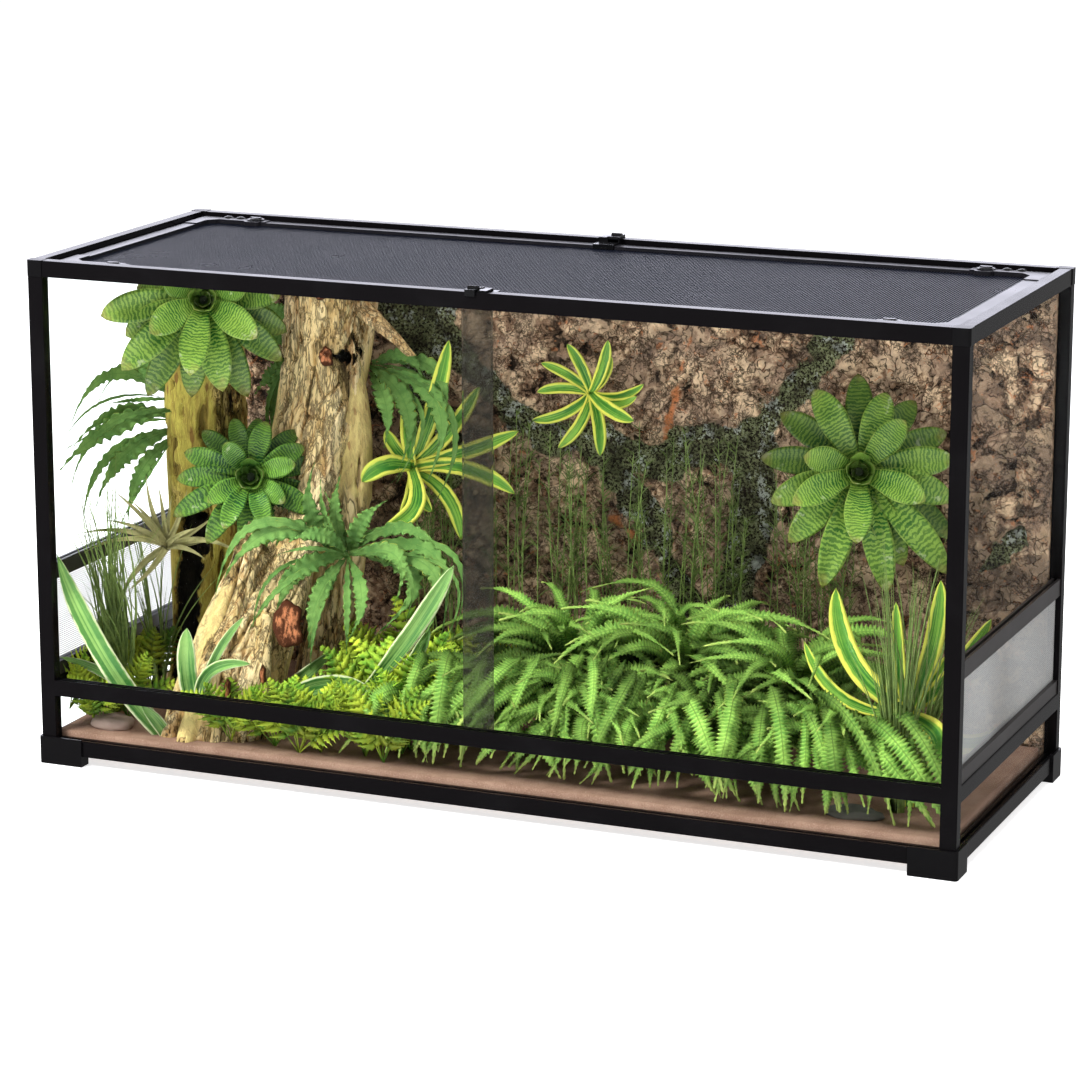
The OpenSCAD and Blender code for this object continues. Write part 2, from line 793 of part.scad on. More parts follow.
// Leaves round the +z axis, or over a sector of it: the first is the outermost, the last the innermost
module rosette(count, size, w, rise, droop, inner = 0.6, core = 9, first = 0, spread = 360) {
    for (i = [0 : count - 1])
        let (k = i / (count - 1), share = 1 - (1 - inner) * k)
            rotate([0, 0, first + (i * golden) % spread])
                leaf(size * share, w * share, rise[0] + (rise[1] - rise[0]) * k, droop, core - 1);
    translate([0, 0, -core]) cylinder(r = core, h = 2 * core, $fn = 10);
}

// Puts a rosette at a place, with its axis leant from +z towards -y and then turned about z
module growing(pos, lean, turn) {
    translate(pos) rotate([0, 0, turn]) rotate([lean, 0, 0]) children();
}

module stem(r, h) {
    translate([0, 0, -h]) cylinder(r = r, h = h, $fn = 10);
}

module bromeliad_top() {
    color(leaf_green) growing([upright_x + 71, upright_y - 78, upright_top - 33], 66, 20) {
        rosette(10, 96, 42, [10, 62], 50);
        stem(8, 68);
    }
}

module bromeliad_middle() {
    color(leaf_green) growing([lean_x - 15, -32, sand_top + 292], 78, 5) {
        rosette(11, 104, 34, [14, 62], 34);
        stem(8, 62);
    }
}

module bromeliad_right() {
    color(leaf_green) growing([right - 230, back - 46, sand_top + 328], 82, 14) {
        rosette(12, 128, 44, [12, 58], 38);
        stem(9, 54);
    }
}

module striped_rosettes() {
    color(leaf_lime) {
        growing([left + 330, back - 70, sand_top + 298], 74, 16) {
            rosette(8, 172, 24, [20, 70], 52, 0.7, 9, -105, 210);
            stem(8, 84);
        }
        growing([left + 575, back - 30, sand_top + 411], 80, 10) {
            rosette(8, 84, 15, [20, 64], 42, 0.7, 6);
            stem(5, 38);
        }
    }
}

// Crowns of the arching fern, a high row at the back and a low one in front of it:
// place along the tank, place in its depth, height above the sand, fronds, frond length, first turn
fern_crowns = [
    [right - 552, 20, 100, 8, 235, 0],
    [right - 412, 30, 112, 8, 250, 40],
    [right - 262, 14, 100, 8, 235, 80],
    [right - 612, -80, 70, 6, 165, 10],
    [right - 484, -88, 70, 6, 165, 25],
    [right - 346, -88, 70, 6, 165, 60],
    [right - 206, -84, 70, 6, 165, 100]
];
frond_w = 30;

// Crown of the fern: the outer fronds hang to the sand, the inner ones rise before they bend over
module fern_crown(h, fronds, size, first) {
    crown_r = 14;
    for (i = [0 : fronds - 1]) let (k = i / (fronds - 1))
        rotate([0, 0, first + i * golden]) translate([0, 0, h])
            leaf(size * (1 - 0.25 * k), frond_w, 14 + 66 * k, 78 + 26 * k, crown_r - 2);
    cylinder(r1 = 0.45 * h, r2 = crown_r, h = h + 8, $fn = 10);
}

module fern_mound() {
    color(leaf_green) for (c = fern_crowns)
        translate([c[0], c[1], sand_top]) scale([1, 0.62, 1]) fern_crown(c[2], c[3], c[4], c[5]);
}

module crisp_ferns() {
    color(leaf_green) {
        growing([lean_x + 78, 58, sand_top + 186], 24, 20) rosette(9, 150, 26, [26, 74], 84, 0.75, 7, -110, 210);
        growing([upright_x + 4, upright_y - 62, sand_top + 336], 50, -10)
            rosette(7, 92, 26, [34, 70], 60, 0.75, 7);
    }
}

module air_plant() {
    color(leaf_olive) growing([upright_x + 2, upright_y - 66, sand_top + 200], 66, 10) {
        rosette(9, 74, 10, [16, 72], 44, 0.6, 6);
        stem(5, 20);
    }
}

// Clump of long leaves that rise from the sand, spread over the sector from first to last
module clump(pos, count, size, w, rise, droop, first, last) {
    crown_r = 9;
    crown_h = 7;
    translate(pos) {
        for (i = [0 : count - 1])
            rotate([0, 0, first + (last - first) * i / (count - 1)]) translate([0, 0, crown_h - 3])
                leaf(size * (1 - 0.16 * ((i * 2) % 3)), w, rise + 4 * (i % 3), droop, crown_r - 2);
        cylinder(r = crown_r, h = crown_h, $fn = 12);
    }
}

module striped_clumps() {
    color(leaf_lime) {
        clump([left + 118, front + 46, sand_top], 5, 210, 22, 76, 26, 5, 185);
        clump([left + 352, front + 92, sand_top], 3, 225, 22, 60, 24, 0, 80);
        clump([right - 104, front + 112, sand_top], 6, 262, 22, 78, 18, -20, 250);
    }
}

module grasses() {
    color(leaf_green) {
        clump([left + 82, front + 100, sand_top], 7, 300, 6, 80, 10, -50, 130);
        clump([right - 130, front + 150, sand_top], 6, 262, 6, 80, 14, 0, 310);
        clump([left + 505, back - 72, sand_top], 6, 270, 6, 80, 8, 0, 310);
        clump([left + 690, back - 72, sand_top], 6, 340, 6, 80, 8, 0, 310);
    }
}

// Low tuft of fern on the sand, flattened front to back
module fern_tuft(pos, size) {
    crown_r = 9;
    fronds = 6;
    translate(pos) scale([1, 0.5, 1]) {
        for (i = [0 : fronds - 1]) rotate([0, 0, i * 360 / fronds]) translate([0, 0, 4])
            leaf(size, 24, 48 + 16 * (i % 2), 60, crown_r - 1);
        cylinder(r = crown_r, h = 8, $fn = 12);
    }
}

module ground_ferns() {
    color(leaf_lime) {
        fern_tuft([left + 82, front + 30, sand_top], 60);
        fern_tuft([left + 306, front + 46, sand_top], 88);
        fern_tuft([left + 400, front + 46, sand_top], 88);
        fern_tuft([left + 458, front + 124, sand_top], 62);
    }
}

at_corner(-1, -1) foot();  // foot_front_left
at_corner(1, -1) foot();  // foot_front_right
at_corner(-1, 1) foot();  // foot_back_left
at_corner(1, 1) foot();  // foot_back_right
base_rail_x();  // base_rail_front
mirror([0, 1, 0]) base_rail_x();  // base_rail_back
base_rail_y();  // base_rail_left
on_side(1) base_rail_y();  // base_rail_right
base_panel();
at_corner(-1, -1) post();  // post_front_left
at_corner(1, -1) post();  // post_front_right
at_corner(-1, 1) post();  // post_back_left
at_corner(1, 1) post();  // post_back_right
top_rail_front();
top_rail_back();
top_rail_side();  // top_rail_left
on_side(1) top_rail_side();  // top_rail_right
top_corners();
door_sill();
door_runners();
kick_pane_front();
back_pane();
kick_pane_side();  // kick_pane_left
on_side(1) kick_pane_side();  // kick_pane_right
side_rail();  // side_rail_left
on_side(1) side_rail();  // side_rail_right
vent_frame();  // vent_frame_left
on_side(1) vent_frame();  // vent_frame_right
vent_mesh();  // vent_mesh_left
on_side(1) vent_mesh();  // vent_mesh_right
side_pane();  // side_pane_left
on_side(1) side_pane();  // side_pane_right
door_left();
door_right();
door_strip();
lid_rails();
lid_corners();
lid_mesh();
port_plugs();
latch_at(-latch_x, -latch_y, 180);  // lid_latch_front_left
latch_at(latch_x, -latch_y, 180);  // lid_latch_front_right
latch_at(-latch_x, latch_y, 0);  // lid_latch_back_left
latch_at(latch_x, latch_y, 0);  // lid_latch_back_right
for (turn = [0, 180]) rotate([0, 0, turn]) clip_bracket();  // clip_brackets
rotate([0, 0, 180]) clip_lever();  // clip_lever_front
clip_lever();  // clip_lever_back
substrate();
bark_wall();
trunk_upright();
trunk_leaning();
bromeliad_top();
bromeliad_middle();
bromeliad_right();
striped_rosettes();
fern_mound();
crisp_ferns();
air_plant();
striped_clumps();
grasses();
ground_ferns();
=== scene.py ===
# Planted glass terrarium: finishes for the frame and glass, and surfaces for screens, bark, sand and plants
import bpy
import numpy as np
from math import radians, pi, cos, sin
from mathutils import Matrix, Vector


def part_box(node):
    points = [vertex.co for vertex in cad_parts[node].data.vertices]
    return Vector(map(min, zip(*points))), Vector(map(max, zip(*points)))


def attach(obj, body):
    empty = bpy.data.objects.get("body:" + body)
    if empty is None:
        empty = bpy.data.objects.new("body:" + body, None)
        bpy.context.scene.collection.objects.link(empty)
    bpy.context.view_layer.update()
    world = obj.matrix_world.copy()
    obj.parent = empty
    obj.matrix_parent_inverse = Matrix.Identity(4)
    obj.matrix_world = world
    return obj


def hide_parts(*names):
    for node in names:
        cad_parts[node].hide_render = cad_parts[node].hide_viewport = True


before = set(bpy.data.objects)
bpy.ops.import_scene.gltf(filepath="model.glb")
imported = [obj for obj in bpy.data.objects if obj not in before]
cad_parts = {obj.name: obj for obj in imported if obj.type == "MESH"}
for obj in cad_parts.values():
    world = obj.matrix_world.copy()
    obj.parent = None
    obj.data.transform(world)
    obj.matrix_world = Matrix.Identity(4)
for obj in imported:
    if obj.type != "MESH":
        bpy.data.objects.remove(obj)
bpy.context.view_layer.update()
print("frame loaded:", len(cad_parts), "nodes")

# view: camera and lamps

viewSettings = {
    "place": (1.7496, -4.1816, 1.3986),
    "tilt": 13.69,      # degrees below the horizon
    "swing": 22.83,     # degrees turned to the left
    "lens": 125.88,
    "frameSide": 1080.0,
}
focalPx = viewSettings["lens"] / 36.0 * viewSettings["frameSide"]
swing, tilt = radians(viewSettings["swing"]), radians(viewSettings["tilt"])
eye = np.array(viewSettings["place"])
lookAlong = np.array([-sin(swing) * cos(tilt), cos(swing) * cos(tilt), -sin(tilt)])
viewRight = np.array([cos(swing), sin(swing), 0.0])
viewUp = np.cross(viewRight, lookAlong)
toEye = -lookAlong


def addCamera(settings):
    camData = bpy.data.cameras.new("viewCamera")
    camData.lens = settings["lens"]
    camData.sensor_width = 36.0
    camData.clip_end = 60.0
    cam = bpy.data.objects.new("viewCamera", camData)
    cam.location = settings["place"]
    cam.rotation_euler = (radians(90.0 - settings["tilt"]), 0.0, swing)
    bpy.context.scene.collection.objects.link(cam)
    bpy.context.scene.camera = cam


def seenAt(u, v, depthY):
    # straight line from the eye through (u, v) of the square frame, cut by the upright plane y = depthY
    u, v, depthY = (np.asarray(a, float) for a in (u, v, depthY))
    half = viewSettings["frameSide"] / 2
    ray = lookAlong + ((u - half) / focalPx)[..., None] * viewRight - ((v - half) / focalPx)[..., None] * viewUp
    return eye + ray * ((depthY - eye[1]) / ray[..., 1])[..., None]


def pxSize(point):
    return float(np.dot(point - eye, lookAlong)) / focalPx   # metres that one picture unit covers at a point


# half widths where the slide starts and ends, nearest plane to the doors, and how deep a tip may stand in the sand
insideSettings = {"start": 0.555, "end": 0.583, "front": -0.204, "inSand": 0.036}


def insideGlass(points, settings):
    # what reaches past a side pane slides along the line of sight until it is inside:
    # |x| = start + (end - start) * tanh((|x| - start) / (end - start))
    x = points[..., 0]
    start, end = settings["start"], settings["end"]
    excess = np.maximum(np.abs(x) - start, 0) / (end - start)
    share = (np.sign(x) * (start + (end - start) * np.tanh(excess)) - x) / (eye[0] - x)
    points = points + (eye - points) * np.where(excess > 0, share, 0)[..., None]
    points[..., 1] = np.maximum(points[..., 1], settings["front"])
    points[..., 2] = np.maximum(points[..., 2], settings["inSand"])   # no tip reaches through the base
    return points


def addAreaLamp(name, place, target, size, watts, colour, mirrored):
    lamp = bpy.data.lights.new(name, "AREA")
    lamp.shape = "RECTANGLE"
    lamp.size, lamp.size_y = size
    lamp.energy = watts
    lamp.color = colour
    ob = bpy.data.objects.new(name, lamp)
    away = np.array(place, float) - np.array(target, float)
    flat = np.hypot(away[0], away[1])
    ob.location = place
    ob.rotation_euler = (np.arctan2(flat, away[2]), 0.0, np.arctan2(away[0], -away[1]))
    ob.visible_camera = False
    ob.visible_glossy = mirrored
    bpy.context.scene.collection.objects.link(ob)


lightSettings = {
    "worldStrength": 0.36,
    # name, place, spot it is aimed at, size, watts, colour, whether mirror-like skins show it
    "lamps": [("keyLamp", (-1.9, -2.6, 3.0), (0, 0, 0.25), (1.1, 1.1), 225.0, (1, 1, 1), False),
              ("sideLamp", (2.8, -1.6, 1.6), (0, 0, 0.3), (1.4, 1.4), 18.0, (1, 1, 1), False),
              ("topLamp", (0.3, 0.3, 3.0), (0, 0, 0.4), (2.4, 1.8), 95.0, (1, 1, 1), False),
              ("backLamp", (-1.4, 3.4, 1.75), (0, 0, 0.6), (4.0, 1.5), 62.0, (0.86, 0.86, 1.0), True)],
}
addCamera(viewSettings)
bpy.context.scene.view_settings.view_transform = "Standard"
world = bpy.data.worlds.new("studioWhite")
world.use_nodes = True
sky = world.node_tree.nodes["Background"].inputs
sky["Color"].default_value = (1, 1, 1, 1)
sky["Strength"].default_value = lightSettings["worldStrength"]
bpy.context.scene.world = world
for lampRow in lightSettings["lamps"]:
    addAreaLamp(*lampRow)
print("lamps made")


# numbers: noise and grids as whole arrays

def unit(v):
    return v / np.maximum(np.linalg.norm(v, axis=-1, keepdims=True), 1e-9)


def hashed(ix, iy, iz, seed):
    # whole numbers to an even spread over 0..1, by multiplying and folding their bits
    h = (ix.astype(np.int64) * 374761393 + iy.astype(np.int64) * 668265263
         + iz.astype(np.int64) * 2147483647 + seed * 144665) & 0xffffffff
    h = ((h ^ (h >> 13)) * 1274126177) & 0xffffffff
    h = ((h ^ (h >> 16)) * 2246822519) & 0xffffffff
    return (h & 0xffffff) / float(0xffffff)


def softNoise(p, seed=0):
    # value noise: hashed corners of the unit cells, blended by 3t^2 - 2t^3 along each axis
    base = np.floor(p).astype(np.int64)
    t = p - base
    t = t * t * (3 - 2 * t)
    total = 0.0
    for dx in (0, 1):
        for dy in (0, 1):
            for dz in (0, 1):
                weight = (np.where(dx, t[..., 0], 1 - t[..., 0]) * np.where(dy, t[..., 1], 1 - t[..., 1])
                          * np.where(dz, t[..., 2], 1 - t[..., 2]))
                total = total + weight * hashed(base[..., 0] + dx, base[..., 1] + dy, base[..., 2] + dz, seed)
    return total


def roughNoise(p, octaves=4, seed=0):
    # soft noise summed over octaves, each twice as fine and half as strong
    total, size = 0.0, 0.0
    for k in range(octaves):
        total = total + softNoise(p * 2.0 ** k, seed + k * 17) * 0.5 ** k
        size += 0.5 ** k
    return total / size


def cellEdges(p, seed=0):
    # distance to the second nearest scattered point less that to the nearest: 0 on the cracks between cells
    base = np.floor(p).astype(np.int64)
    first = np.full(p.shape[:-1], 9.0)
    second = first.copy()
    tone = np.zeros(p.shape[:-1])
    for dx in (-1, 0, 1):
        for dy in (-1, 0, 1):
            for dz in (-1, 0, 1):
                c = [base[..., 0] + dx, base[..., 1] + dy, base[..., 2] + dz]
                spot = np.stack([c[k] + hashed(c[0], c[1], c[2], seed + 101 * k) for k in range(3)], -1)
                d = np.linalg.norm(p - spot, axis=-1)
                nearer = d < first
                second = np.where(nearer, first, np.minimum(second, d))
                tone = np.where(nearer, hashed(c[0], c[1], c[2], seed + 999), tone)
                first = np.where(nearer, d, first)
    return second - first, tone


def ramp(x, low, high):
    t = np.clip((x - low) / (high - low), 0, 1)
    return t * t * (3 - 2 * t)


def newPiece(name, points, faces, material, uv=None, values=None, body="cabinet", stands=(), smooth=True):
    # faces: arrays of vertex numbers, one row a face; arrays of different widths may be mixed
    faces = [np.atleast_2d(f) for f in faces]
    loops = np.concatenate([f.ravel() for f in faces]).astype(np.int32)
    sizes = np.concatenate([np.full(len(f), f.shape[1]) for f in faces])
    used, loops = np.unique(loops, return_inverse=True)
    points = points.reshape(-1, 3)[used]
    mesh = bpy.data.meshes.new(name)
    mesh.vertices.add(len(points))
    mesh.vertices.foreach_set("co", np.ascontiguousarray(points, np.float32).ravel())
    mesh.loops.add(len(loops))
    mesh.loops.foreach_set("vertex_index", loops.astype(np.int32))
    mesh.polygons.add(len(sizes))
    mesh.polygons.foreach_set("loop_start", np.concatenate([[0], np.cumsum(sizes)[:-1]]).astype(np.int32))
    mesh.polygons.foreach_set("use_smooth", np.full(len(sizes), smooth))
    mesh.update(calc_edges=True)
    if uv is not None:
        layer = mesh.uv_layers.new(name="UVMap")
        layer.data.foreach_set("uv", uv.reshape(-1, 2)[used][loops].astype(np.float32).ravel())
    for key, value in (values or {}).items():
        mesh.attributes.new(key, "FLOAT", "POINT").data.foreach_set("value", value.ravel()[used].astype(np.float32))
    mesh.materials.append(material)
    ob = bpy.data.objects.new(name, mesh)
    bpy.context.scene.collection.objects.link(ob)
    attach(ob, body)
    if stands:
        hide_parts(*stands)
    return ob


def gridFaces(rows, cols, wrap=False):
    # quads of a rows x cols sheet of vertices; wrap joins the last column to the first
    i, j = np.meshgrid(np.arange(rows - 1), np.arange(cols if wrap else cols - 1), indexing="ij")
    k = (j + 1) % cols
    return np.stack([i * cols + j, i * cols + k, (i + 1) * cols + k, (i + 1) * cols + j], -1).reshape(-1, 4)


def sheetRim(rows, cols):
    # vertex numbers once round the edge of a rows x cols sheet
    ids = np.arange(rows * cols).reshape(rows, cols)
    return np.concatenate([ids[0, :-1], ids[:-1, -1], ids[-1, :0:-1], ids[:0:-1, 0]])


def tubeFaces(rows, cols):
    # quads of a sheet rolled into a tube, and a flat face at each end
    ids = np.arange(rows * cols).reshape(rows, cols)
    return [gridFaces(rows, cols, wrap=True), ids[0, ::-1][None], ids[-1][None]]


def joined(parts):
    # several (points, faces, uv, values) made one, with their vertex numbers shifted
    points, uvs, values, faces, shift = [], [], {}, [], 0
    for p, f, uv, val in parts:
        p = p.reshape(-1, 3)
        points.append(p)
        uvs.append(uv.reshape(-1, 2))
        for key, v in val.items():
            values.setdefault(key, []).append(v.ravel())
        faces.append(f + shift)
        shift += len(p)
    return np.concatenate(points), faces, np.concatenate(uvs), {k: np.concatenate(v) for k, v in values.items()}


# leaves: every blade is a strip round a bent midrib

def strapOutline(s):
    # half as wide at the root, full width past the middle, blunt point
    return (0.5 + 0.5 * ramp(s, 0.0, 0.6)) * np.clip(1 - np.clip((s - 0.56) / 0.44, 0, 1) ** 2.1, 0.003, 1) ** 0.72


def softOutline(s):
    # even along most of its length, a little narrower at the root, round point
    return (0.62 + 0.38 * ramp(s, 0.0, 0.4)) * np.clip(1 - np.clip((s - 0.62) / 0.38, 0, 1) ** 2.2, 0.002, 1) ** 0.72


def lanceOutline(s):
    # widens quickly and narrows evenly to a fine tip
    return ramp(s, -0.35, 0.3) * np.clip(1 - ramp(s, 0.35, 1.02), 0.02, 1) ** 0.8


def bladeOutline(s):
    return np.clip(1 - s ** 1.6, 0.05, 1)


def ovalOutline(s):
    return np.sqrt(np.clip(1 - (2 * s - 0.9) ** 4, 0.02, 1)) * (0.85 + 0.15 * s)


def toothedOutline(s, count, depth):
    # lance shape whose edge drops back at each of count teeth
    saw = (s * count) % 1.0
    return lanceOutline(s) * (1 - depth * (1 - saw) ** 1.5)


def combOutline(s, count, depth, evenTo=0.45):
    # even width up to evenTo and a blunt point, cut by close teeth, narrow over its first tenth
    saw = (s * count) % 1.0
    return ramp(s, -0.05, 0.16) * (1 - 0.9 * ramp(s, evenTo, 1.04)) * (1 - depth * (1 - saw))


def wavyOutline(s, count, depth):
    # narrow stalk, widest at the middle, drawn out to a long thin tail, with rounded lobes at uneven spaces
    body = (0.16 + 0.84 * ramp(s, 0.02, 0.36)) * (0.86 * (1 - ramp(s, 0.5, 0.92)) + 0.12 * (1 - ramp(s, 0.9, 1.02))
                                                  + 0.02)
    lobe = 0.5 + 0.5 * np.cos(2 * pi * count * s + 2.5 * np.sin(9 * s))
    return body * (1 - depth * (0.65 + 0.35 * np.sin(23 * s + 1)) * lobe)


def ribLines(roots, tips, bows, facing, s):
    # parabola from root to tip, pushed off its chord by bow at the middle: (1 - s)^2 root + 2 s (1 - s) control + s^2
    # tip;
    # gives its places and, at each, the directions along it, to its side and up from its face
    ctrl = (roots + tips) / 2 + 2 * bows
    r, k, t = roots[:, None, :], ctrl[:, None, :], tips[:, None, :]
    mid = (1 - s) ** 2 * r + 2 * s * (1 - s) * k + s ** 2 * t
    along = unit(2 * (1 - s) * (k - r) + 2 * s * (t - k))
    side = unit(np.cross(along, np.broadcast_to(facing[:, None, :], along.shape)))
    return mid, along, side, np.cross(side, along)


def leafField(roots, tips, bows, facing, width, outline, tone, steps=12, across=5, fold=0.15,
              ripple=0.0, ripples=7, body=0.0009, curl=0.0, skew=0.0, shuffle=0.0, paintedRootShade=0.0):
    # blade = midrib + side * c * half width + top * (half width * (fold |c|^1.5 - curl |c|^3)
    #         + ripple * width * c^2 * sine along the edge), c from -1 to 1; its underside lies body * (1 - c^2) lower
    # skew moves the outline along one edge, shuffle along each blade by its own amount; paintedRootShade darkens the
    # tone towards the root, painted shade near the crown
    s = np.linspace(0, 1, steps)[None, :, None]
    c = np.linspace(-1, 1, across)
    mid, _, side, top = ribLines(roots, tips, bows, facing, s)
    count = np.arange(len(roots))
    moved = s[..., 0] + shuffle * (hashed(count, count * 3, count * 5, 8) - 0.5)[:, None]
    near, far = outline(np.clip(moved, 0, 1)), outline(np.clip(moved + skew, 0, 1))
    half = 0.5 * width[:, None, None] * np.where(c > 0, far[..., None], near[..., None])
    edge = np.abs(c)[None, None, :]
    phase = np.arange(len(roots))[:, None, None] * 1.7
    wave = np.sin(2 * pi * ripples * s + phase + pi * (c > 0)[None, None, :]) * edge ** 2
    lift = half * (fold * edge ** 1.5 - curl * edge ** 3) + ripple * width[:, None, None] * wave
    upper = mid[:, :, None, :] + side[:, :, None, :] * (half * c)[..., None] + top[:, :, None, :] * lift[..., None]
    lower = upper - top[:, :, None, :] * (body * (1 - edge ** 2))[..., None]
    n = steps * across
    ids = np.arange(n).reshape(steps, across)
    rim = np.zeros((steps, across), bool)
    rim[[0, -1]] = True
    rim[:, [0, -1]] = True
    under = np.where(rim, ids, ids + n)
    sheet = gridFaces(steps, across)
    one = np.concatenate([sheet, under.ravel()[sheet][:, ::-1]])
    shift = (np.arange(len(roots)) * 2 * n)[:, None, None]
    faces = (one[None] + shift).reshape(-1, 4)
    points = np.stack([upper.reshape(len(roots), n, 3), lower.reshape(len(roots), n, 3)], 1).reshape(-1, 3)
    uv = np.stack(np.broadcast_arrays((c * 0.5 + 0.5)[None, :], np.linspace(0, 1, steps)[:, None]), -1).reshape(1, n, 2)
    uvAll = np.broadcast_to(uv, (2 * len(roots), n, 2)).reshape(-1, 2)
    # painted shade: the tone falls towards the root of each blade
    shade = np.tile(np.repeat(1 - paintedRootShade * (1 - ramp(s[0, :, 0], 0.0, 0.5)), across), 2 * len(roots))
    return points, faces, uvAll, {"tone": np.repeat(tone, 2 * n) * shade}


def frondField(roots, tips, bows, facing, leaflet, pairs, leafletWidth, tone, droop=0.1, slant=0.25,
               first=0.06, outline=ovalOutline, steps=4, across=3, ribWidth=0.0016, taper=0.75):
    # ribs as above; leaflets stand off both sides, grow over the first third of the rib and shrink by taper to its tip
    s = np.repeat(np.linspace(first, 0.985, pairs), 2)
    hand = np.tile([-1.0, 1.0], pairs)
    mid, along, side, top = ribLines(roots, tips, bows, facing, s[None, :, None])
    reach = leaflet[:, None] * (0.45 + 0.55 * ramp(s, 0.0, 0.3))[None, :] * (1 - taper * ramp(s, 0.35, 1.0))[None, :]
    aim = side * hand[None, :, None] + along * slant - top * droop
    out = unit(aim) * reach[..., None]
    n = len(roots) * 2 * pairs
    flat = [a.reshape(n, 3) for a in (mid, mid + out, top)]
    wide = np.repeat(leafletWidth, 2 * pairs) * (0.6 + 0.4 * (1 - np.tile(s, len(roots))))
    # leaflets darker towards the root of the rib: painted shade near the crown
    toneAll = np.repeat(tone, 2 * pairs) * np.tile(0.55 + 0.5 * ramp(s, 0.0, 0.6), len(roots))
    blades = leafField(flat[0], flat[1], flat[2] * (reach.reshape(n, 1) * 0.06), flat[2], wide, outline, toneAll,
                       steps=steps, across=across, fold=0.12, body=0.0005)
    ribs = leafField(roots, tips, bows, facing, np.full(len(roots), ribWidth), bladeOutline, tone - 0.1,
                     steps=10, across=3, body=0.0012)
    return [blades, ribs]


# shared effects

class Value:
    # result of a node, which can be added, taken away and multiplied
    def __init__(self, wires, socket):
        self.wires, self.socket = wires, socket

    def __add__(self, other):
        return self.wires.math("ADD", self, other)

    def __sub__(self, other):
        return self.wires.math("SUBTRACT", self, other)

    def __rsub__(self, other):
        return self.wires.math("SUBTRACT", other, self)

    def __mul__(self, other):
        return self.wires.math("MULTIPLY", self, other)


class Wires:
    # short hand for adding and joining nodes in one tree
    def __init__(self, tree):
        self.tree = tree

    def add(self, kind, **settings):
        node = self.tree.nodes.new("ShaderNode" + kind)
        for key, value in settings.items():
            setattr(node, key, value)
        return node

    def link(self, source, target):
        self.tree.links.new(getattr(source, "socket", source), target)

    def feed(self, socket, value):
        if isinstance(value, Value) or hasattr(value, "links"):
            self.link(value, socket)
        else:
            socket.default_value = value

    def attribute(self, name):
        return Value(self, self.add("Attribute", attribute_name=name).outputs["Fac"])

    def math(self, operation, a, b=0.0, clamp=False):
        node = self.add("Math", operation=operation, use_clamp=clamp)
        self.feed(node.inputs[0], a)
        self.feed(node.inputs[1], b)
        return Value(self, node.outputs[0])

    def vector(self, operation, a, b):
        node = self.add("VectorMath", operation=operation)
        self.feed(node.inputs[0], a)
        self.feed(node.inputs[1], b)
        return node.outputs[0]

    def mix(self, factor, a, b, blend="MIX"):
        node = self.add("Mix", data_type="RGBA", blend_type=blend)
        self.feed(node.inputs[0], factor)
        self.feed(node.inputs[6], a)
        self.feed(node.inputs[7], b)
        return node.outputs[2]

    def between(self, value, low, high, outLow=0.0, outHigh=1.0):
        node = self.add("MapRange", interpolation_type="SMOOTHSTEP")
        for k, x in enumerate((value, low, high, outLow, outHigh)):
            self.feed(node.inputs[k], x)
        return Value(self, node.outputs[0])

    def noise(self, vector, scale, detail=3.0, rough=0.55):
        node = self.add("TexNoise")
        self.feed(node.inputs["Vector"], vector)
        self.feed(node.inputs["Scale"], scale)
        node.inputs["Detail"].default_value = detail
        node.inputs["Roughness"].default_value = rough
        return Value(self, node.outputs["Fac"])


class GroupWires(Wires):
    # the same for a new group: inputs gives each value by label, and with it the kind of socket, a number, vector or
    # colour
    def __init__(self, name, inputs, results):
        super().__init__(bpy.data.node_groups.new(name, "ShaderNodeTree"))
        face = self.tree.interface
        for label, value in inputs.items():
            kind = "NodeSocket" + {1: "Float", 3: "Vector", 4: "Color"}[np.size(value)]
            face.new_socket(label, in_out="INPUT", socket_type=kind).default_value = value
        for label in results:
            face.new_socket(label, in_out="OUTPUT", socket_type="NodeSocket"
                            + ("Color" if label == "Color" else "Float"))
        self.inside, self.outside = self.tree.nodes.new("NodeGroupInput"), self.tree.nodes.new("NodeGroupOutput")

    def take(self, label):
        return Value(self, self.inside.outputs[label])

    def give(self, label, value):
        self.link(value, self.outside.inputs[label])


